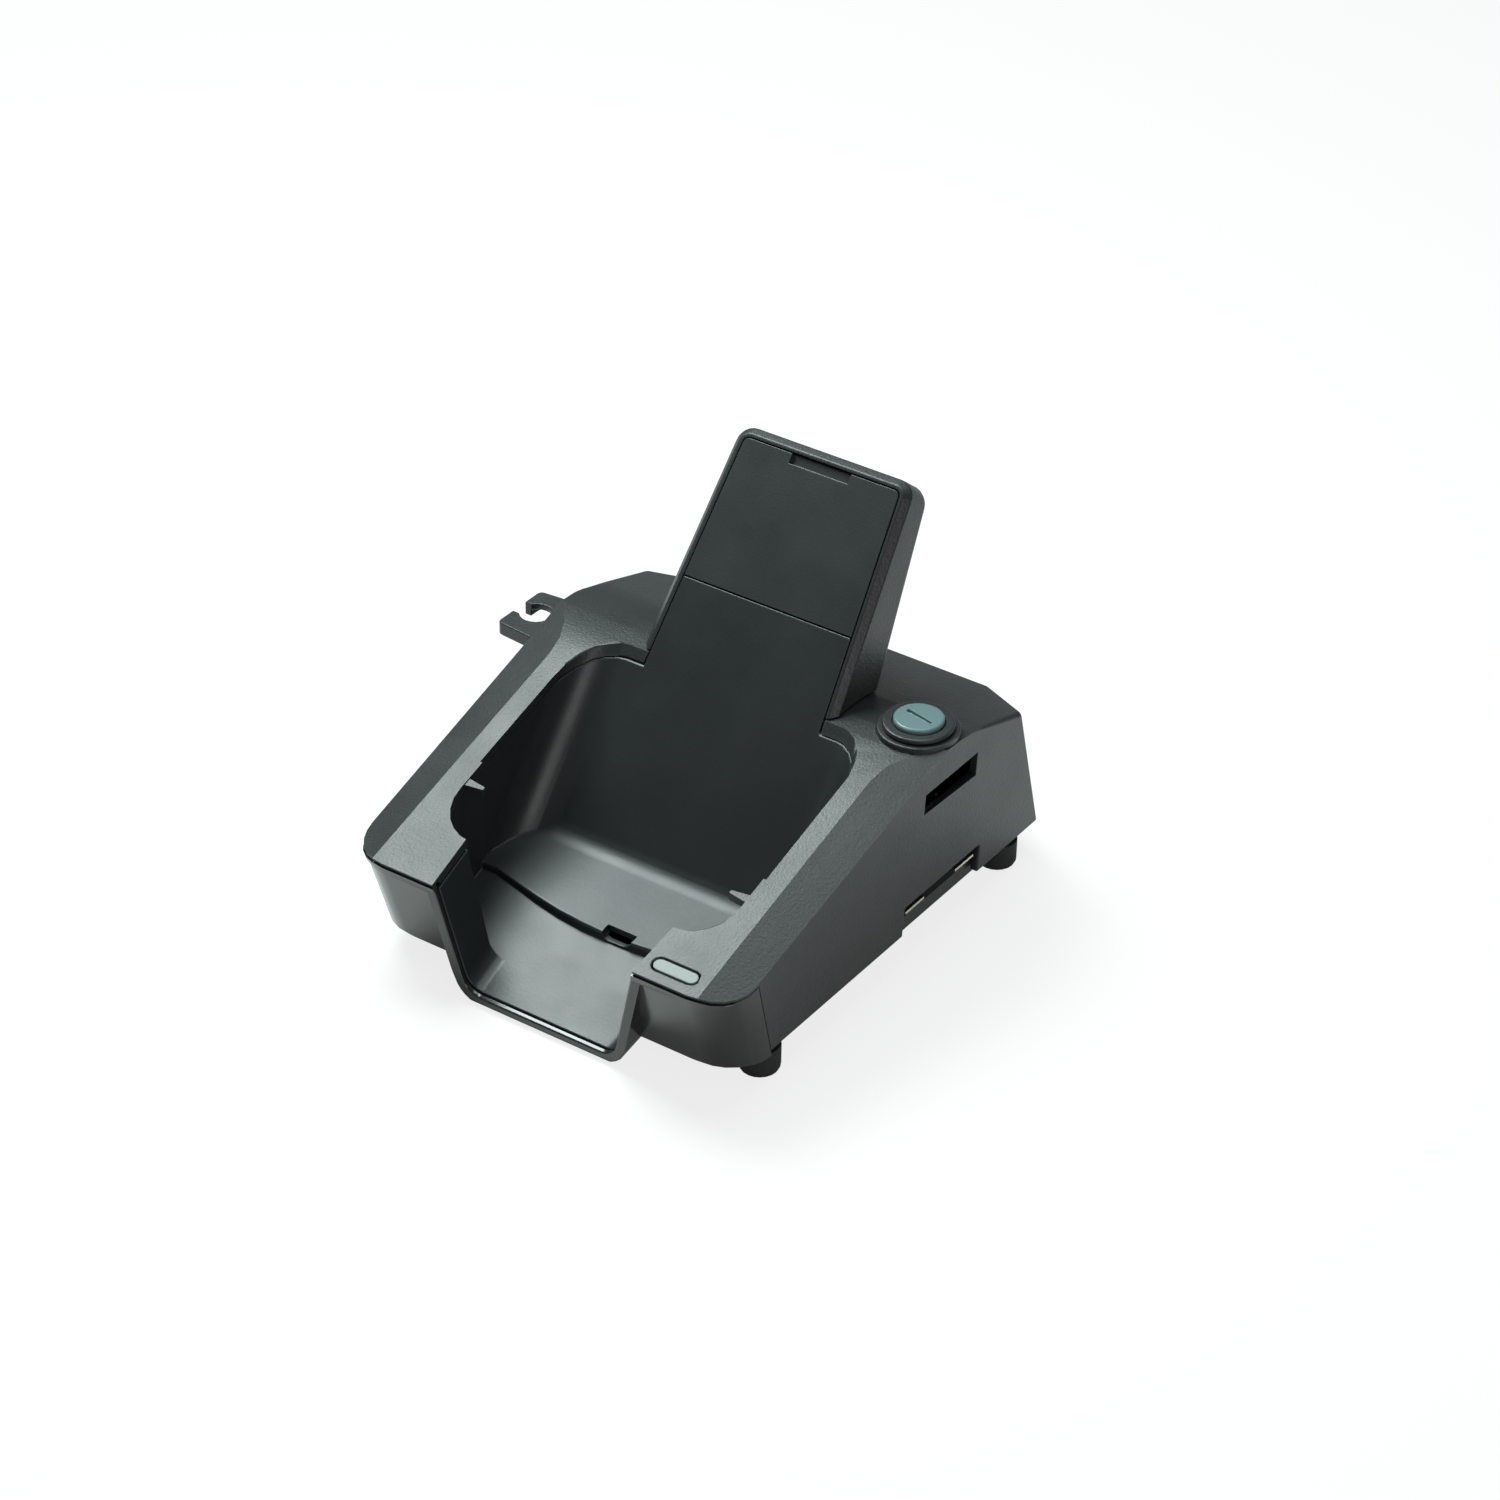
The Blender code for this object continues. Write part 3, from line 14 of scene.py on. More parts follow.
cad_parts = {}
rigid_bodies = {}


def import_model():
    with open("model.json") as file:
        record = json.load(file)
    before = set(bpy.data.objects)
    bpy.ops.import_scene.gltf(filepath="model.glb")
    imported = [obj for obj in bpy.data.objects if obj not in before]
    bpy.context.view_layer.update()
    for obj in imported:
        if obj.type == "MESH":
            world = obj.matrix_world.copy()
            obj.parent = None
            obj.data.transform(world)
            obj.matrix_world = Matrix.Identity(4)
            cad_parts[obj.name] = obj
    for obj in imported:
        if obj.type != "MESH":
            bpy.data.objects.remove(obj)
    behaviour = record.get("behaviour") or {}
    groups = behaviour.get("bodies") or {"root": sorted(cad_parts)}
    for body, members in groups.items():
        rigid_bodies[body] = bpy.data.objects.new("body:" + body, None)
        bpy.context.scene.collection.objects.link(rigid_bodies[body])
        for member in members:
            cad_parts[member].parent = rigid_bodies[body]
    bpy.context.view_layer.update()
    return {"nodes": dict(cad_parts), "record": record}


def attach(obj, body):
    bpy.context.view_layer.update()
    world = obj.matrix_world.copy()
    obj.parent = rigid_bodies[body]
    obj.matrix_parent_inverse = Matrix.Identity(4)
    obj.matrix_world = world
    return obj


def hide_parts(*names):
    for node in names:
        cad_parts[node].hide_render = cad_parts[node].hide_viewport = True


bl_info = {
    "name": "Charging cradle",
    "version": (1, 0, 0),
    "blender": (4, 5, 0),
    "location": "View3D > Sidebar > Cradle",
    "description": "Builds the finished look of a charging cradle for a portable gas detector",
    "category": "Object",
}

for leftover in list(bpy.data.objects):
    bpy.data.objects.remove(leftover)
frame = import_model()

# View: where the camera stands and what it looks at
VIEW_AIM = Vector((-0.00645, 0.03753, 0.01671))
VIEW_TURN = math.radians(34.124)
VIEW_RISE = math.radians(33.583)
VIEW_ROLL = math.radians(1.133)
VIEW_DISTANCE = 1.10676
VIEW_LENS = 107.21
SENSOR = 36.0

# Meshes
WELD = 0.00004  # points of a copied node closer than this are one point
FLAT_ANGLE = math.radians(0.8)  # faces that meet flatter than this are one face
EDGE_ANGLE = math.radians(28.0)  # edges sharper than this are eased
SMOOTH_ANGLE = math.radians(40.0)  # facets of a round meet flatter than this
CURVE_ANGLE = math.radians(7.5)  # faces that meet flatter than this are one curve
STRIP = 0.0036  # facets of a round are narrower than this
ROOM = 2.2  # a face has to be this many easings deep
EASE_STEPS = 3
EASE_TRIES = 12
FOLD_AREA = 1e-10  # a folded face smaller than this, in square metres, is not seen
FOLD_REACH = 2.0  # edges within this many easings of a fold stay sharp, more with every try
SIDEWAYS = 0.97  # share of X in the normal of a side wall, or more
UPWARD = 0.85  # share of Z in the normal of the band and the deck, or more

# Screws and coil
ROUND_SIDES = 24  # sides of a screw's head
SHANK_SIDES = 16
HEXAGON = 6
CROWN_TOP = 0.8  # a head's flat top, as a share of its radius
CROWN_HEIGHT = 0.45  # a head's slanted crown, as a share of its height
WIRE_SIDES = 8
TURN_STEPS = 40
LAYER_GAP = 1.04  # a layer's distance from the coil's middle, in wire radii

# Finishes
DRIFT_DARK = 0.86  # moulded plastic drifts between these shares of its colour
DRIFT_PALE = 1.14
ROUGH_DRIFT = 0.04
METAL_DARK = 0.8
METAL_PALE = 1.1
METAL_ROUGH_DRIFT = 0.08
METAL_DEPTH = 0.000008

# Studio
COOL = (0.88, 1.0, 0.98)
WHITE = (1.0, 1.0, 1.0)
CRADLE_MIDDLE = (0.0, 0.0, 0.03)
LIGHTS = (  # name, place, what it looks at, width, power in watts, tint
    ("key_light", (-0.18, 0.02, 0.36), (-0.03, -0.05, 0.03), 0.18, 1.3, COOL),
    ("top_light", (-0.48, 0.22, 0.95), CRADLE_MIDDLE, 0.60, 8.5, COOL),
    ("fill_light", (0.66, -0.36, 0.30), CRADLE_MIDDLE, 0.26, 1.15, WHITE),
    ("bevel_light", (0.074, 0.165, 0.825), (0.05, -0.01, 0.045), 0.30, 1.6, COOL),
)
WORLD_STRENGTH = 0.20
FLOOR_HALF = 3.0
FLOOR_SEEN = 0.80  # share of the floor that is plain white to the camera
FLOOR_MIRRORED = 0.14  # the same share in reflections


class CradleSizes(bpy.types.PropertyGroup):
    """Sizes that a user would change."""

    shell_ease: FloatProperty(
        name="Shell easing", description="Rounding of the housing's edges",
        default=0.0005, min=0.0001, max=0.002, subtype="DISTANCE", unit="LENGTH")
    side_ease: FloatProperty(
        name="Side easing", description="Rounding where the band turns down into the side walls",
        default=0.0013, min=0.0002, max=0.003, subtype="DISTANCE", unit="LENGTH")
    panel_ease: FloatProperty(
        name="Panel easing", description="Rounding of the glossy front panel's edges",
        default=0.0004, min=0.0001, max=0.002, subtype="DISTANCE", unit="LENGTH")
    tray_ease: FloatProperty(
        name="Tray easing", description="Rounding of the tray's edges",
        default=0.0003, min=0.0001, max=0.002, subtype="DISTANCE", unit="LENGTH")
    small_ease: FloatProperty(
        name="Small easing", description="Rounding of the small pieces' edges",
        default=0.00018, min=0.00005, max=0.001, subtype="DISTANCE", unit="LENGTH")
    screw_head: FloatProperty(
        name="Screw head", description="Radius of a screw's head",
        default=0.0029, min=0.001, max=0.006, subtype="DISTANCE", unit="LENGTH")
    screw_head_height: FloatProperty(
        name="Head height", description="Height of a screw's head",
        default=0.0020, min=0.0005, max=0.004, subtype="DISTANCE", unit="LENGTH")
    screw_shank: FloatProperty(
        name="Screw shank", description="Radius of a screw's shank",
        default=0.0014, min=0.0005, max=0.003, subtype="DISTANCE", unit="LENGTH")
    screw_drive: FloatProperty(
        name="Screw drive", description="Radius of the hexagon socket in a screw's head",
        default=0.0012, min=0.0005, max=0.003, subtype="DISTANCE", unit="LENGTH")
    coil_turns: IntProperty(
        name="Coil turns", description="Turns of wire in each layer of the charging coil",
        default=10, min=2, max=30)
    coil_wire: FloatProperty(
        name="Coil wire", description="Radius of the charging coil's wire",
        default=0.00045, min=0.0001, max=0.001, subtype="DISTANCE", unit="LENGTH")


def colour_property(name, description, default):
    return FloatVectorProperty(
        name=name, description=description, default=default, size=3, min=0.0, max=1.0, subtype="COLOR")


class CradleColours(bpy.types.PropertyGroup):
    """Colours that a user would change."""

    charcoal: colour_property("Charcoal", "Housing, backrest and fork", (0.015, 0.0175, 0.018))
    # Paler charcoal, painted on the edges as a highlight
    charcoal_highlight: colour_property("Charcoal highlight", "Painted highlight on the moulding's edges", (0.026, 0.030, 0.031))
    gloss: colour_property("Gloss black", "Front panel", (0.012, 0.013, 0.012))
    liner: colour_property("Liner", "Tray and backrest inlay", (0.014, 0.0165, 0.0175))
    # Near black, darker than the charcoal: the blocks' own black plastic plus painted shade of the recessed
    # link bay
    contact_block: colour_property("Contact block", "Blocks that carry the contacts", (0.004, 0.004, 0.004))
    knob: colour_property("Knob", "Coin-slot knob", (0.100, 0.165, 0.170))
    rubber: colour_property("Rubber", "Feet", (0.020, 0.020, 0.020))
    lens: colour_property("Lens", "Light window", (0.27, 0.30, 0.29))
    steel: colour_property("Steel", "Screws and lock cam", (0.56, 0.56, 0.57))
    contact: colour_property("Contact", "Blades and pins", (0.74, 0.70, 0.58))
    board: colour_property("Board", "Circuit boards", (0.016, 0.095, 0.042))
    copper: colour_property("Copper", "Charging coil", (0.66, 0.30, 0.13))
    ferrite: colour_property("Ferrite", "Tile behind the coil", (0.055, 0.053, 0.051))
    led: colour_property("LED", "Light behind the lens", (0.80, 0.78, 0.62))
    floor: colour_property("Floor", "What the cradle stands on", (0.86, 0.86, 0.86))


def sizes():
    return bpy.context.scene.cradle_sizes


def colours():
    return bpy.context.scene.cradle_colours


# Shader node groups that several finishes share


def link(tree, start, end):
    tree.links.new(start, end)


def group_input(tree, name, default):
    socket = tree.interface.new_socket(name, in_out="INPUT", socket_type="NodeSocketFloat")
    socket.default_value = default


def group_output(tree, name):
    tree.interface.new_socket(name, in_out="OUTPUT", socket_type="NodeSocketFloat")


def moulded_grain_group():
    """Fine pebbled texture of a moulding: its height, and a slow drift over the surface."""
    tree = bpy.data.node_groups.new("Moulded grain", "ShaderNodeTree")
    group_input(tree, "Grain Scale", 1900.0)
    group_input(tree, "Drift Scale", 45.0)
    group_output(tree, "Height")
    group_output(tree, "Drift")
    nodes = tree.nodes
    start, end = nodes.new("NodeGroupInput"), nodes.new("NodeGroupOutput")
    place = nodes.new("ShaderNodeTexCoord")
    pebbles = nodes.new("ShaderNodeTexVoronoi")
    pebbles.feature = "SMOOTH_F1"
    pebbles.inputs["Smoothness"].default_value = 0.7
    grit = nodes.new("ShaderNodeTexNoise")
    grit.inputs["Detail"].default_value = 2.0
    both = nodes.new("ShaderNodeMath")
    both.operation = "MULTIPLY_ADD"
    both.inputs[1].default_value = 0.6
    drift = nodes.new("ShaderNodeTexNoise")
    drift.inputs["Detail"].default_value = 3.0
    drift.inputs["Roughness"].default_value = 0.6
    for texture in (pebbles, grit, drift):
        link(tree, place.outputs["Object"], texture.inputs["Vector"])
    link(tree, start.outputs["Grain Scale"], pebbles.inputs["Scale"])
    link(tree, start.outputs["Grain Scale"], grit.inputs["Scale"])
    link(tree, start.outputs["Drift Scale"], drift.inputs["Scale"])
    link(tree, pebbles.outputs["Distance"], both.inputs[0])
    link(tree, grit.outputs["Fac"], both.inputs[2])
    link(tree, both.outputs["Value"], end.inputs["Height"])
    link(tree, drift.outputs["Fac"], end.inputs["Drift"])
    return tree


def painted_edge_group():
    """Mask of the edges where a paler tone is painted as a highlight, broken up by noise."""
    tree = bpy.data.node_groups.new("Painted edge highlight", "ShaderNodeTree")
    group_input(tree, "Reach", 0.0010)
    group_input(tree, "Break Up", 160.0)
    group_output(tree, "Mask")
    nodes = tree.nodes
    start, end = nodes.new("NodeGroupInput"), nodes.new("NodeGroupOutput")
    place = nodes.new("ShaderNodeTexCoord")
    surface = nodes.new("ShaderNodeNewGeometry")
    soft = nodes.new("ShaderNodeBevel")
    soft.samples = 4
    turn = nodes.new("ShaderNodeVectorMath")
    turn.operation = "DOT_PRODUCT"
    rise = nodes.new("ShaderNodeMapRange")
    rise.inputs["From Min"].default_value = 0.995
    rise.inputs["From Max"].default_value = 0.85
    patches = nodes.new("ShaderNodeTexNoise")
    patches.inputs["Detail"].default_value = 4.0
    lit_edges = nodes.new("ShaderNodeMath")
    lit_edges.operation = "MULTIPLY"
    link(tree, start.outputs["Reach"], soft.inputs["Radius"])
    link(tree, start.outputs["Break Up"], patches.inputs["Scale"])
    link(tree, place.outputs["Object"], patches.inputs["Vector"])
    link(tree, soft.outputs["Normal"], turn.inputs[0])
    link(tree, surface.outputs["Normal"], turn.inputs[1])
    link(tree, turn.outputs["Value"], rise.inputs["Value"])
    link(tree, rise.outputs["Result"], lit_edges.inputs[0])
    link(tree, patches.outputs["Fac"], lit_edges.inputs[1])
    link(tree, lit_edges.outputs["Value"], end.inputs["Mask"])
    return tree


SHARED = {}


def shared_group(name):
    """One of the shared node groups, built the first time it is asked for."""
    makers = {"grain": moulded_grain_group, "painted_edges": painted_edge_group}
    if name not in SHARED:
        SHARED[name] = makers[name]()
    return SHARED[name]


# Finishes


class Finish:
    """A Principled material and short ways to drive its sockets."""

    def __init__(self, name):
        self.material = bpy.data.materials.new(name)
        self.material.use_nodes = True
        self.tree = self.material.node_tree
        self.shader = self.tree.nodes["Principled BSDF"]

    def set(self, **values):
        for socket, value in values.items():
            self.shader.inputs[socket.replace("_", " ")].default_value = value

    def place_group(self, name, **values):
        node = self.tree.nodes.new("ShaderNodeGroup")
        node.node_tree = shared_group(name)
        for socket, value in values.items():
            node.inputs[socket.replace("_", " ")].default_value = value
        return node

    def mixed(self, mask, low, high):
        """Base colour that runs between two colours by a mask."""
        mix = self.tree.nodes.new("ShaderNodeMix")
        mix.data_type = "RGBA"
        mix.inputs["A"].default_value = (*low, 1.0)
        mix.inputs["B"].default_value = (*high, 1.0)
        link(self.tree, mask, mix.inputs["Factor"])
        return mix.outputs["Result"]

    def ramped(self, mask, low, high, start=0.3, end=0.7):
        """A number that runs between two values by a mask."""
        ramp = self.tree.nodes.new("ShaderNodeMapRange")
        ramp.inputs["From Min"].default_value = start
        ramp.inputs["From Max"].default_value = end
        ramp.inputs["To Min"].default_value = low
        ramp.inputs["To Max"].default_value = high
        link(self.tree, mask, ramp.inputs["Value"])
        return ramp.outputs["Result"]

    def bumped(self, height, depth):
        """Fine relief of some depth."""
        bump = self.tree.nodes.new("ShaderNodeBump")
        bump.inputs["Strength"].default_value = 1.0
        bump.inputs["Distance"].default_value = depth
        link(self.tree, height, bump.inputs["Height"])
        link(self.tree, bump.outputs["Normal"], self.shader.inputs["Normal"])

    def drive(self, socket, output):
        link(self.tree, output, self.shader.inputs[socket])


def shaded(colour, factor):
    return tuple(min(1.0, channel * factor) for channel in colour)


def moulded(name, colour, highlight_tone, rough, grain_scale, depth, specular=0.5):
    """Grained plastic with a slow drift in tone and a paler tone painted on its edges as a highlight."""
    finish = Finish(name)
    finish.set(Specular_IOR_Level=specular)
    grain = finish.place_group("grain", Grain_Scale=grain_scale)
    # A paler tone is mixed in at the edges: a painted highlight
    painted_edges = finish.place_group("painted_edges")
    drift = finish.mixed(grain.outputs["Drift"], shaded(colour, DRIFT_DARK), shaded(colour, DRIFT_PALE))
    lit_edges = finish.tree.nodes.new("ShaderNodeMix")
    lit_edges.data_type = "RGBA"
    lit_edges.inputs["B"].default_value = (*highlight_tone, 1.0)
    link(finish.tree, drift, lit_edges.inputs["A"])
    link(finish.tree, painted_edges.outputs["Mask"], lit_edges.inputs["Factor"])
    finish.drive("Base Color", lit_edges.outputs["Result"])
    roughness = finish.ramped(grain.outputs["Drift"], rough - ROUGH_DRIFT, rough + ROUGH_DRIFT)
    finish.drive("Roughness", roughness)
    finish.bumped(grain.outputs["Height"], depth)
    return finish.material


def metal(name, colour, rough):
    """Plain metal with a fine drift in tone and polish."""
    finish = Finish(name)
    finish.set(Metallic=1.0)
    grain = finish.place_group("grain", Grain_Scale=5200.0, Drift_Scale=420.0)
    drift = grain.outputs["Drift"]
    finish.drive("Base Color", finish.mixed(drift, shaded(colour, METAL_DARK), shaded(colour, METAL_PALE)))
    roughness = finish.ramped(drift, rough - METAL_ROUGH_DRIFT, rough + METAL_ROUGH_DRIFT)
    finish.drive("Roughness", roughness)
    finish.bumped(grain.outputs["Height"], METAL_DEPTH)
    return finish.material


# The second colour of each moulded finish is painted on its edges as a highlight
def charcoal_finish():
    tones = colours()
    return moulded(
        "Charcoal moulding", tones.charcoal, tones.charcoal_highlight,
        rough=0.40, grain_scale=1500.0, depth=0.00005, specular=0.36)


def gloss_finish():
    tones = colours()
    return moulded(
        "Gloss black panel", tones.gloss, shaded(tones.gloss, 1.8),
        rough=0.20, grain_scale=900.0, depth=0.000004)


def liner_finish():
    tones = colours()
    return moulded(
        "Satin liner", tones.liner, shaded(tones.liner, 1.6),
        rough=0.37, grain_scale=1500.0, depth=0.000016, specular=0.36)


def inlay_finish():
    tones = colours()
    return moulded(
        "Backrest inlay", tones.liner, shaded(tones.liner, 1.6),
        rough=0.40, grain_scale=1700.0, depth=0.000016, specular=0.45)


def knob_finish():
    tones = colours()
    return moulded(
        "Teal knob", tones.knob, shaded(tones.knob, 1.4),
        rough=0.34, grain_scale=2400.0, depth=0.000010)


def rubber_finish():
    tones = colours()
    return moulded(
        "Foot rubber", tones.rubber, shaded(tones.rubber, 1.7),
        rough=0.72, grain_scale=1300.0, depth=0.00004, specular=0.3)


def lens_finish():
    """White window that scatters light."""
    finish = Finish("Light window")
    tones = colours()
    finish.set(
        Roughness=0.5, Specular_IOR_Level=0.3,
        Subsurface_Weight=0.2, Subsurface_Radius=(0.002, 0.002, 0.002))
    grain = finish.place_group("grain", Grain_Scale=1500.0, Drift_Scale=260.0)
    finish.drive("Base Color", finish.mixed(grain.outputs["Drift"], shaded(tones.lens, 0.94), tones.lens))
    finish.bumped(grain.outputs["Height"], depth=0.000006)
    return finish.material


def board_finish():
    """Solder mask with faint copper tracks under it."""
    finish = Finish("Circuit board")
    tones = colours()
    finish.set(Roughness=0.35)
    place = finish.tree.nodes.new("ShaderNodeTexCoord")
    tracks = finish.tree.nodes.new("ShaderNodeTexVoronoi")
    tracks.distance = "CHEBYCHEV"
    tracks.inputs["Scale"].default_value = 420.0
    link(finish.tree, place.outputs["Object"], tracks.inputs["Vector"])
    mask = finish.ramped(tracks.outputs["Distance"], low=0.0, high=1.0, start=0.42, end=0.48)
    finish.drive("Base Color", finish.mixed(mask, tones.board, shaded(tones.board, 1.9)))
    finish.bumped(mask, depth=0.00002)
    return finish.material


# Meshes


def body_of(node):
    """The moving body that a node of the part belongs to."""
    for body, nodes in frame["record"]["behaviour"]["bodies"].items():
        if node in nodes:
            return body
    raise KeyError(node)


def depths(edge):
    """How far each face at an edge reaches away from it."""
    start = edge.verts[0].co
    along = (edge.verts[1].co - start).normalized()
    return [
        max((v.co - start - along * (v.co - start).dot(along)).length for v in face.verts)
        for face in edge.link_faces
    ]


def deep_enough(edge, width):
    """Whether both faces at an edge have room for its easing."""
    return min(depths(edge)) > ROOM * width


def flows(edge):
    """Whether the surface runs smoothly over an edge: along a round, but not over a crease of two flats."""
    if len(edge.link_faces) != 2:
        return False
    angle = edge.calc_face_angle(0.0)
    return angle < CURVE_ANGLE or (angle < SMOOTH_ANGLE and min(depths(edge)) < STRIP)


def faults(shape):
    """Corners of the faces that fold over or run through each other."""
    trial = shape.copy()
    trial.faces.index_update()
    normals = [face.normal.copy() for face in trial.faces]
    owner = trial.faces.layers.int.new("owner")
    for face in trial.faces:
        face[owner] = face.index
    bmesh.ops.triangulate(trial, faces=trial.faces, quad_method="BEAUTY", ngon_method="EAR_CLIP")
    trial.faces.ensure_lookup_table()
    trial.faces.index_update()
    trial.normal_update()
    wrong = {
        face.index for face in trial.faces
        if face.calc_area() > FOLD_AREA and face.normal.dot(normals[face[owner]]) < 0.0
    }
    tree = BVHTree.FromBMesh(trial)
    for first, second in tree.overlap(tree):
        if first < second and not set(trial.faces[first].verts) & set(trial.faces[second].verts):
            wrong |= {first, second}
    places = [vertex.co.copy() for index in wrong for vertex in trial.faces[index].verts]
    trial.free()
    return places


def near(edge, places, reach):
    """Whether an edge passes close to any of some places."""
    start, end = edge.verts[0].co, edge.verts[1].co
    for place in places:
        share = intersect_point_line(place, start, end)[1]
        point = start.lerp(end, min(1.0, max(0.0, share)))
        if (place - point).length < reach:
            return True
    return False


def ease_edges(shape, width, wanted):
    """Round the sharp edges that a test picks, leaving out those where the rounding would fold."""
    shape.edges.index_update()
    picked = [
        edge.index for edge in shape.edges
        if len(edge.link_faces) == 2
        and edge.calc_face_angle(0.0) > EDGE_ANGLE
        and wanted(edge)
        and deep_enough(edge, width)
    ]
    old = faults(shape)
    for attempt in range(EASE_TRIES):
        trial = shape.copy()
        trial.edges.ensure_lookup_table()
        bmesh.ops.bevel(
            trial, geom=[trial.edges[i] for i in picked], offset=width, offset_type="OFFSET",
            segments=EASE_STEPS, profile=0.5, affect="EDGES", clamp_overlap=False, loop_slide=True,
            miter_outer="ARC", vmesh_method="ADJ")
        bad = [place for place in faults(trial) if all((place - other).length > WELD for other in old)]
        if not bad:
            return trial
        trial.free()
        shape.edges.ensure_lookup_table()
        reach = width * (FOLD_REACH + attempt)
        picked = [i for i in picked if not near(shape.edges[i], bad, reach)]
    return shape


def any_edge(edge):
    return True


def eased(name, node, *easings):
    """Copy of a node with its edges rounded, as a new piece."""
    shape = bmesh.new()
    shape.from_mesh(frame["nodes"][node].data)
    bmesh.ops.remove_doubles(shape, verts=shape.verts, dist=WELD)
    bmesh.ops.dissolve_degenerate(shape, edges=shape.edges, dist=WELD)
    bmesh.ops.dissolve_limit(
        shape, angle_limit=FLAT_ANGLE, verts=shape.verts, edges=shape.edges, use_dissolve_boundaries=False)
    for width, wanted in easings:
        shape = ease_edges(shape, width, wanted)
    for face in shape.faces:
        face.smooth = True
    for edge in shape.edges:
        edge.smooth = flows(edge)
    mesh = bpy.data.meshes.new(name)
    shape.to_mesh(mesh)
    shape.free()
    return plain_piece(name, mesh)


def plain_piece(name, mesh):
    """Object at the origin with face-weighted normals."""
    piece = bpy.data.objects.new(name, mesh)
    bpy.context.scene.collection.objects.link(piece)
    weigh = piece.modifiers.new("Weighted", "WEIGHTED_NORMAL")
    weigh.keep_sharp = True
    return flattened(piece)


def flattened(piece):
    """Turn a piece's modifiers into its plain mesh."""
    depsgraph = bpy.context.evaluated_depsgraph_get()
    mesh = bpy.data.meshes.new_from_object(piece.evaluated_get(depsgraph))
    piece.modifiers.clear()
    piece.data = mesh
    return piece


def dress(piece, material, *nodes):
    """Give a piece its finish and put it in place of the nodes it stands for."""
    piece.data.materials.clear()
    piece.data.materials.append(material)
    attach(piece, body_of(nodes[0]))
    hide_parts(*nodes)


def dress_node(name, node, finish, ease):
    """Put a copy with all its sharp edges rounded in a node's place."""
    dress(eased(name, node, (ease, any_edge)), finish, node)


# Geometry node trees


class NodeTree:
    """A geometry node tree with named inputs."""

    def __init__(self, name):
        self.tree = bpy.data.node_groups.new(name, "GeometryNodeTree")
        self.tree.interface.new_socket("Geometry", in_out="INPUT", socket_type="NodeSocketGeometry")
        self.tree.interface.new_socket("Geometry", in_out="OUTPUT", socket_type="NodeSocketGeometry")
        self.start = self.tree.nodes.new("NodeGroupInput")
        self.end = self.tree.nodes.new("NodeGroupOutput")

    def input(self, name, kind, default=None):
        socket = self.tree.interface.new_socket(name, in_out="INPUT", socket_type=kind)
        if default is not None:
            socket.default_value = default
        return self.start.outputs[name]

    def node(self, kind, **settings):
        node = self.tree.nodes.new(kind)
        for key, value in settings.items():
            setattr(node, key, value)
        return node

    def link(self, start, end):
        self.tree.links.new(start, end)

    def math(self, operation, a, b):
        node = self.node("ShaderNodeMath", operation=operation)
        for socket, value in zip(node.inputs, (a, b)):
            if isinstance(value, (int, float)):
                socket.default_value = value
            else:
                self.link(value, socket)
        return node.outputs["Value"]

    def height(self, value):
        """A vector along Z."""
        node = self.node("ShaderNodeCombineXYZ")
        self.link(value, node.inputs["Z"])
        return node.outputs["Vector"]

    def moved(self, geometry, shift):
        node = self.node("GeometryNodeTransform")
        self.link(geometry, node.inputs["Geometry"])
        self.link(shift, node.inputs["Translation"])
        return node.outputs["Geometry"]

    def finished(self, geometry, material):
        """Realize the instances, set the material and end the tree."""
        realize = self.node("GeometryNodeRealizeInstances")
        paint = self.node("GeometryNodeSetMaterial")
        self.link(geometry, realize.inputs["Geometry"])
        self.link(realize.outputs["Geometry"], paint.inputs["Geometry"])
        self.link(material, paint.inputs["Material"])
        self.link(paint.outputs["Geometry"], self.end.inputs["Geometry"])
        return self.tree


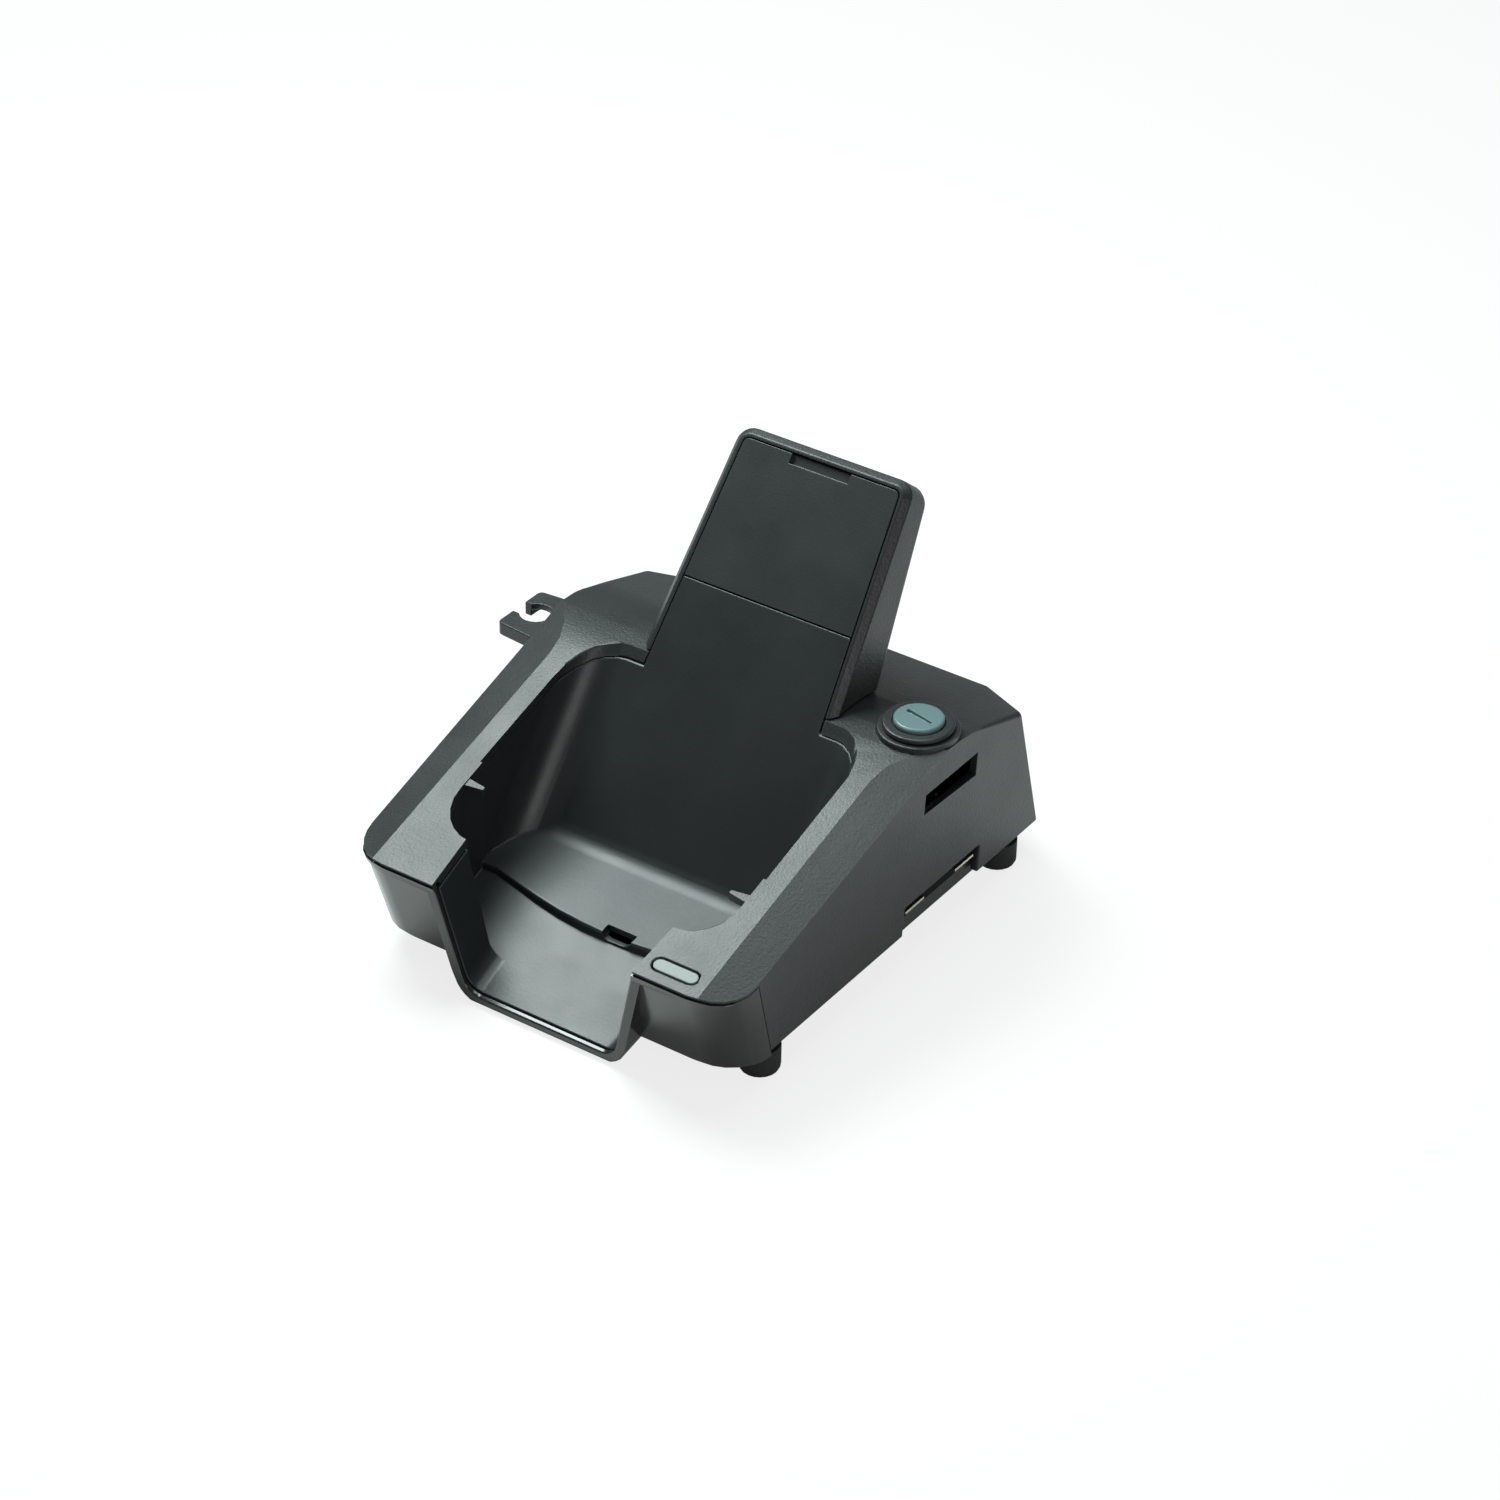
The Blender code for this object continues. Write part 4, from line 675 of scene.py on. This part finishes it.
def screw_tree():
    """Pan-head screws with a hexagon socket, one on each point, pointing along its head_way."""
    made = NodeTree("Screws")
    head = made.input("Head Radius", "NodeSocketFloat", 0.0029)
    head_height = made.input("Head Height", "NodeSocketFloat", 0.0020)
    shank = made.input("Shank Radius", "NodeSocketFloat", 0.0014)
    length = made.input("Length", "NodeSocketFloat", 0.011)
    drive = made.input("Drive Radius", "NodeSocketFloat", 0.0012)
    material = made.input("Material", "NodeSocketMaterial")
    crown = made.node("GeometryNodeMeshCone")
    crown.inputs["Vertices"].default_value = ROUND_SIDES
    made.link(made.math("MULTIPLY", head, CROWN_TOP), crown.inputs["Radius Top"])
    made.link(head, crown.inputs["Radius Bottom"])
    edge = made.math("MULTIPLY", head_height, CROWN_HEIGHT)
    made.link(edge, crown.inputs["Depth"])
    crown_place = made.moved(crown.outputs["Mesh"], made.height(made.math("MULTIPLY", edge, -1.0)))
    collar = made.node("GeometryNodeMeshCylinder")
    collar.inputs["Vertices"].default_value = ROUND_SIDES
    made.link(head, collar.inputs["Radius"])
    made.link(made.math("SUBTRACT", head_height, edge), collar.inputs["Depth"])
    low = made.math("MULTIPLY", made.math("ADD", head_height, edge), -0.5)
    collar_place = made.moved(collar.outputs["Mesh"], made.height(low))
    stem = made.node("GeometryNodeMeshCylinder")
    stem.inputs["Vertices"].default_value = SHANK_SIDES
    made.link(shank, stem.inputs["Radius"])
    stem_length = made.math("SUBTRACT", length, edge)
    made.link(stem_length, stem.inputs["Depth"])
    middle = made.math("MULTIPLY", made.math("ADD", length, edge), -0.5)
    stem_place = made.moved(stem.outputs["Mesh"], made.height(middle))
    union = made.node("GeometryNodeMeshBoolean", operation="UNION", solver="EXACT")
    for solid in (stem_place, collar_place, crown_place):
        made.link(solid, union.inputs["Mesh 2"])
    hexagon = made.node("GeometryNodeMeshCylinder")
    hexagon.inputs["Vertices"].default_value = HEXAGON
    made.link(drive, hexagon.inputs["Radius"])
    made.link(head_height, hexagon.inputs["Depth"])
    socket = made.node("GeometryNodeMeshBoolean", operation="DIFFERENCE", solver="EXACT")
    made.link(union.outputs["Mesh"], socket.inputs["Mesh 1"])
    made.link(hexagon.outputs["Mesh"], socket.inputs["Mesh 2"])
    way = made.node("GeometryNodeInputNamedAttribute", data_type="FLOAT_VECTOR")
    way.inputs["Name"].default_value = "head_way"
    turn = made.node("FunctionNodeAlignRotationToVector", axis="Z")
    made.link(way.outputs["Attribute"], turn.inputs["Vector"])
    spread = made.node("GeometryNodeInstanceOnPoints")
    made.link(made.start.outputs["Geometry"], spread.inputs["Points"])
    made.link(socket.outputs["Mesh"], spread.inputs["Instance"])
    made.link(turn.outputs["Rotation"], spread.inputs["Rotation"])
    return made.finished(spread.outputs["Instances"], material)


def coil_tree():
    """Flat spiral of round wire in two layers, about Z."""
    made = NodeTree("Charging coil")
    inner = made.input("Inner Radius", "NodeSocketFloat", 0.009)
    outer = made.input("Outer Radius", "NodeSocketFloat", 0.019)
    wire = made.input("Wire Radius", "NodeSocketFloat", 0.00045)
    turns = made.input("Turns", "NodeSocketFloat", 10.0)
    material = made.input("Material", "NodeSocketMaterial")
    round_wire = made.node("GeometryNodeCurvePrimitiveCircle")
    round_wire.inputs["Resolution"].default_value = WIRE_SIDES
    made.link(wire, round_wire.inputs["Radius"])
    layers = made.node("GeometryNodeJoinGeometry")
    for side in (-1.0, 1.0):
        spiral = made.node("GeometryNodeCurveSpiral")
        spiral.inputs["Resolution"].default_value = TURN_STEPS
        spiral.inputs["Height"].default_value = 0.0
        made.link(turns, spiral.inputs["Rotations"])
        made.link(made.math("ADD", inner, wire), spiral.inputs["Start Radius"])
        made.link(made.math("SUBTRACT", outer, wire), spiral.inputs["End Radius"])
        tube = made.node("GeometryNodeCurveToMesh")
        tube.inputs["Fill Caps"].default_value = True
        made.link(spiral.outputs["Curve"], tube.inputs["Curve"])
        made.link(round_wire.outputs["Curve"], tube.inputs["Profile Curve"])
        level = made.math("MULTIPLY", wire, side * LAYER_GAP)
        place = made.moved(tube.outputs["Mesh"], made.height(level))
        made.link(place, layers.inputs["Geometry"])
    return made.finished(layers.outputs["Geometry"], material)


def grown(name, tree, mesh, values):
    """Run a node tree on a mesh and keep its result as a plain mesh."""
    seed = bpy.data.objects.new(name, mesh)
    bpy.context.scene.collection.objects.link(seed)
    modifier = seed.modifiers.new("Tree", "NODES")
    modifier.node_group = tree
    for item in tree.interface.items_tree:
        if item.item_type == "SOCKET" and item.in_out == "INPUT" and item.name in values:
            modifier[item.identifier] = values[item.name]
    return flattened(seed)


def axis_of(node):
    """A screw's head point, the way its head looks, and its length, from the node's own mesh."""
    points = np.array([vertex.co for vertex in frame["nodes"][node].data.vertices])
    middle = points.mean(0)
    way = np.linalg.eigh(np.cov((points - middle).T))[1][:, -1]
    along = (points - middle) @ way
    across = np.linalg.norm(points - middle - np.outer(along, way), axis=1)
    if along[across.argmax()] < 0:
        way, along = -way, -along
    head = middle + way * along.max()
    return Vector(head), Vector(way), float(np.ptp(along))


def points_mesh(name, places):
    """Loose points, each with the way its screw head looks."""
    mesh = bpy.data.meshes.new(name)
    mesh.from_pydata([tuple(point) for point, _ in places], [], [])
    ways = mesh.attributes.new("head_way", "FLOAT_VECTOR", "POINT")
    for item, (_, way) in zip(ways.data, places):
        item.vector = way
    return mesh


# Operators


class CRADLE_OT_housing(bpy.types.Operator):
    """Upper housing and bottom plate"""

    bl_idname = "cradle.housing"
    bl_label = "Housing"

    def execute(self, context):
        finish = charcoal_finish()
        size = sizes()

        def long_side(edge):
            """Edges where the band or deck turns down into a side wall."""
            faces = edge.link_faces
            upright = any(abs(face.normal.x) > SIDEWAYS for face in faces)
            over = any(face.normal.z > UPWARD for face in faces)
            return upright and over

        easings = ((size.side_ease, long_side), (size.shell_ease, any_edge))
        dress(eased("housing_shell", "top_housing", *easings), finish, "top_housing")
        dress_node("base_plate", "bottom_plate", finish, size.tray_ease)
        return {"FINISHED"}


class CRADLE_OT_front_panel(bpy.types.Operator):
    """Glossy front panel with its bead and chute rim"""

    bl_idname = "cradle.front_panel"
    bl_label = "Front panel"

    def execute(self, context):
        dress_node("nose_panel", "front_panel", gloss_finish(), sizes().panel_ease)
        return {"FINISHED"}


class CRADLE_OT_tray(bpy.types.Operator):
    """Tray with the detector's well and the front chute"""

    bl_idname = "cradle.tray"
    bl_label = "Tray"

    def execute(self, context):
        dress_node("detector_tray", "cradle_tray", liner_finish(), sizes().tray_ease)
        return {"FINISHED"}


class CRADLE_OT_backrest(bpy.types.Operator):
    """Backrest shell and its smooth inlay"""

    bl_idname = "cradle.backrest"
    bl_label = "Backrest"

    def execute(self, context):
        size = sizes()
        dress_node("rest_shell", "backrest_shell", charcoal_finish(), size.tray_ease)
        dress_node("rest_inlay", "backrest_panel", inlay_finish(), size.small_ease)
        return {"FINISHED"}


class CRADLE_OT_feet(bpy.types.Operator):
    """Rubber feet"""

    bl_idname = "cradle.feet"
    bl_label = "Feet"

    def execute(self, context):
        finish = rubber_finish()
        for node in sorted(frame["nodes"]):
            if node.startswith("foot_"):
                dress_node("rubber_" + node, node, finish, sizes().small_ease)
        return {"FINISHED"}


class CRADLE_OT_screws(bpy.types.Operator):
    """Every screw of the cradle"""

    bl_idname = "cradle.screws"
    bl_label = "Screws"

    def execute(self, context):
        tree = screw_tree()
        finish = metal("Zinc steel", colours().steel, rough=0.32)
        size = sizes()
        groups = (
            "housing_screw", "backrest_screw", "fork_screw", "board_screw", "bracket_screw", "cam_screw",
        )
        for group in groups:
            nodes = [node for node in sorted(frame["nodes"]) if node.startswith(group)]
            found = [axis_of(node) for node in nodes]
            values = {
                "Head Radius": size.screw_head, "Head Height": size.screw_head_height,
                "Shank Radius": size.screw_shank, "Drive Radius": size.screw_drive,
                "Length": found[0][2], "Material": finish,
            }
            mesh = points_mesh(group + "_points", [(point, way) for point, way, _ in found])
            screws = grown(group + "_set", tree, mesh, values)
            dress(screws, finish, *nodes)
        return {"FINISHED"}


class CRADLE_OT_side_link(bpy.types.Operator):
    """Link fork, contact blocks, blades and pins"""

    bl_idname = "cradle.side_link"
    bl_label = "Side link"

    def execute(self, context):
        size = sizes()
        dress_node("side_fork", "link_fork", charcoal_finish(), size.small_ease * 2)
        # The blocks' near-black tone holds painted shade of the recessed bay as well as their own black
        block = colours().contact_block
        block_finish = moulded(
            "Contact block", block, shaded(block, 2.0),
            rough=0.6, grain_scale=1500.0, depth=0.00001, specular=0.06)
        dress_node("socket_block", "link_socket", block_finish, size.small_ease)
        dress_node("plug_block", "link_plug", block_finish, size.small_ease)
        finish = metal("Contact metal", colours().contact, rough=0.26)
        for number in (1, 2):
            dress_node(f"blade_{number}", f"socket_blade_{number}", finish, size.small_ease)
            dress_node(f"pin_{number}", f"contact_pin_{number}", finish, size.small_ease)
        return {"FINISHED"}


class CRADLE_OT_lock(bpy.types.Operator):
    """Coin-slot lock: bezel, knob, cam and washer"""

    bl_idname = "cradle.lock"
    bl_label = "Lock"

    def execute(self, context):
        ease = sizes().small_ease
        dress_node("lock_ring", "lock_bezel", charcoal_finish(), ease)
        dress_node("coin_knob", "lock_knob", knob_finish(), ease)
        finish = metal("Lock steel", colours().steel, rough=0.30)
        dress_node("cam_barrel", "lock_cam", finish, ease)
        dress(eased("spring_washer", "lock_washer"), finish, "lock_washer")
        return {"FINISHED"}


class CRADLE_OT_status_light(bpy.types.Operator):
    """Light window, its LED and its board"""

    bl_idname = "cradle.status_light"
    bl_label = "Status light"

    def execute(self, context):
        ease = sizes().small_ease
        led = colours().led
        package = moulded("LED package", led, led, rough=0.3, grain_scale=2600.0, depth=0.000005)
        dress_node("light_window", "status_lens", lens_finish(), ease)
        dress_node("light_chip", "status_led", package, ease)
        dress_node("light_board", "led_board", board_finish(), ease / 2)
        return {"FINISHED"}


class CRADLE_OT_charging_set(bpy.types.Operator):
    """Charging coil, ferrite tile, bracket and main board"""

    bl_idname = "cradle.charging_set"
    bl_label = "Charging set"

    def execute(self, context):
        size = sizes()
        ring = np.array([vertex.co for vertex in frame["nodes"]["charging_coil"].data.vertices])
        middle = ring.mean(0)
        way = Vector(np.linalg.eigh(np.cov((ring - middle).T))[1][:, 0])
        reach = np.linalg.norm(ring - middle, axis=1)
        tones = colours()
        finish = metal("Copper wire", tones.copper, rough=0.30)
        values = {
            "Inner Radius": float(reach.min()), "Outer Radius": float(reach.max()) - size.coil_wire,
            "Wire Radius": size.coil_wire, "Turns": float(size.coil_turns), "Material": finish,
        }
        coil = grown("coil_windings", coil_tree(), bpy.data.meshes.new("coil_seed"), values)
        turn = way.to_track_quat("Z", "Y").to_matrix().to_4x4()
        coil.data.transform(Matrix.Translation(middle) @ turn)
        dress(coil, finish, "charging_coil")
        sintered = moulded(
            "Sintered ferrite", tones.ferrite, shaded(tones.ferrite, 1.5),
            rough=0.62, grain_scale=1400.0, depth=0.00002)
        dress_node("ferrite_tile", "ferrite_plate", sintered, size.small_ease)
        dress_node("coil_strap", "coil_bracket", liner_finish(), size.small_ease)
        dress_node("main_board", "circuit_board", board_finish(), size.small_ease)
        return {"FINISHED"}


# Stage


def soft_light(name, place, aim, width, power, tint):
    """Square soft light that looks at a point."""
    lamp = bpy.data.lights.new(name, "AREA")
    lamp.color = tint
    lamp.shape = "SQUARE"
    lamp.size = width
    lamp.energy = power
    holder = bpy.data.objects.new(name, lamp)
    bpy.context.scene.collection.objects.link(holder)
    holder.location = place
    holder.rotation_euler = (Vector(aim) - Vector(place)).to_track_quat("-Z", "Y").to_euler()


def pale_floor():
    """Wide floor that keeps the shadow and reads white to the camera."""
    half = FLOOR_HALF
    corners = [(-half, -half, 0), (half, -half, 0), (half, half, 0), (-half, half, 0)]
    mesh = bpy.data.meshes.new("studio_floor")
    mesh.from_pydata(corners, [], [(0, 1, 2, 3)])
    floor = bpy.data.objects.new("studio_floor", mesh)
    bpy.context.scene.collection.objects.link(floor)
    material = bpy.data.materials.new("Pale floor")
    material.use_nodes = True
    tree = material.node_tree
    tree.nodes.remove(tree.nodes["Principled BSDF"])
    matte = tree.nodes.new("ShaderNodeBsdfDiffuse")
    matte.inputs["Color"].default_value = (*colours().floor, 1.0)
    white = tree.nodes.new("ShaderNodeEmission")
    rays = tree.nodes.new("ShaderNodeLightPath")
    mirrored = tree.nodes.new("ShaderNodeMath")
    mirrored.operation = "MULTIPLY"
    mirrored.inputs[1].default_value = FLOOR_MIRRORED
    share = tree.nodes.new("ShaderNodeMath")
    share.operation = "MULTIPLY_ADD"
    share.inputs[1].default_value = FLOOR_SEEN
    mix = tree.nodes.new("ShaderNodeMixShader")
    link(tree, rays.outputs["Is Glossy Ray"], mirrored.inputs[0])
    link(tree, rays.outputs["Is Camera Ray"], share.inputs[0])
    link(tree, mirrored.outputs["Value"], share.inputs[2])
    link(tree, share.outputs["Value"], mix.inputs["Fac"])
    link(tree, matte.outputs["BSDF"], mix.inputs[1])
    link(tree, white.outputs["Emission"], mix.inputs[2])
    link(tree, mix.outputs["Shader"], tree.nodes["Material Output"].inputs["Surface"])
    mesh.materials.append(material)


def studio_world():
    """Soft even light all round, white to the camera."""
    world = bpy.data.worlds.new("Studio")
    bpy.context.scene.world = world
    world.use_nodes = True
    tree = world.node_tree
    backdrop = tree.nodes["Background"]
    rays = tree.nodes.new("ShaderNodeLightPath")
    seen = tree.nodes.new("ShaderNodeMapRange")
    seen.inputs["To Min"].default_value = WORLD_STRENGTH
    seen.inputs["To Max"].default_value = 1.0
    link(tree, rays.outputs["Is Camera Ray"], seen.inputs["Value"])
    link(tree, seen.outputs["Result"], backdrop.inputs["Strength"])
    backdrop.inputs["Color"].default_value = (1.0, 1.0, 1.0, 1.0)


def photo_camera():
    """Camera at the photograph's viewing angle."""
    level = math.cos(VIEW_RISE)
    ahead = Vector((-math.sin(VIEW_TURN) * level, math.cos(VIEW_TURN) * level, -math.sin(VIEW_RISE)))
    across = Vector((math.cos(VIEW_TURN), math.sin(VIEW_TURN), 0.0))
    upward = across.cross(ahead)
    right = across * math.cos(VIEW_ROLL) + upward * math.sin(VIEW_ROLL)
    up = upward * math.cos(VIEW_ROLL) - across * math.sin(VIEW_ROLL)
    lens = bpy.data.cameras.new("photo_camera")
    lens.lens = VIEW_LENS
    lens.sensor_width = SENSOR
    camera = bpy.data.objects.new("photo_camera", lens)
    bpy.context.scene.collection.objects.link(camera)
    turn = Matrix((right, up, -ahead)).transposed().to_4x4()
    camera.matrix_world = Matrix.Translation(VIEW_AIM - ahead * VIEW_DISTANCE) @ turn
    bpy.context.scene.camera = camera


class CRADLE_OT_stage(bpy.types.Operator):
    """Floor, studio light and camera"""

    bl_idname = "cradle.stage"
    bl_label = "Stage"

    def execute(self, context):
        pale_floor()
        studio_world()
        for light in LIGHTS:
            soft_light(*light)
        photo_camera()
        context.scene.view_settings.view_transform = "Standard"
        return {"FINISHED"}


STEPS = (
    CRADLE_OT_housing, CRADLE_OT_front_panel, CRADLE_OT_tray, CRADLE_OT_backrest, CRADLE_OT_feet,
    CRADLE_OT_screws, CRADLE_OT_side_link, CRADLE_OT_lock, CRADLE_OT_status_light,
    CRADLE_OT_charging_set, CRADLE_OT_stage,
)


class CRADLE_PT_panel(bpy.types.Panel):
    """Lists the cradle's build steps and settings"""

    bl_idname = "CRADLE_PT_panel"
    bl_label = "Charging cradle"
    bl_space_type = "VIEW_3D"
    bl_region_type = "UI"
    bl_category = "Cradle"

    def draw(self, context):
        layout = self.layout
        for step in STEPS:
            layout.operator(step.bl_idname)
        for group in (context.scene.cradle_sizes, context.scene.cradle_colours):
            for key in group.__annotations__:
                layout.prop(group, key)


CLASSES = (CradleSizes, CradleColours) + STEPS + (CRADLE_PT_panel,)


def register():
    for item in CLASSES:
        bpy.utils.register_class(item)
    bpy.types.Scene.cradle_sizes = PointerProperty(type=CradleSizes)
    bpy.types.Scene.cradle_colours = PointerProperty(type=CradleColours)


def unregister():
    del bpy.types.Scene.cradle_colours
    del bpy.types.Scene.cradle_sizes
    for item in reversed(CLASSES):
        bpy.utils.unregister_class(item)


def main():
    register()
    for step in STEPS:
        family, action = step.bl_idname.split(".")
        getattr(getattr(bpy.ops, family), action)()


if __name__ == "__main__":
    main()
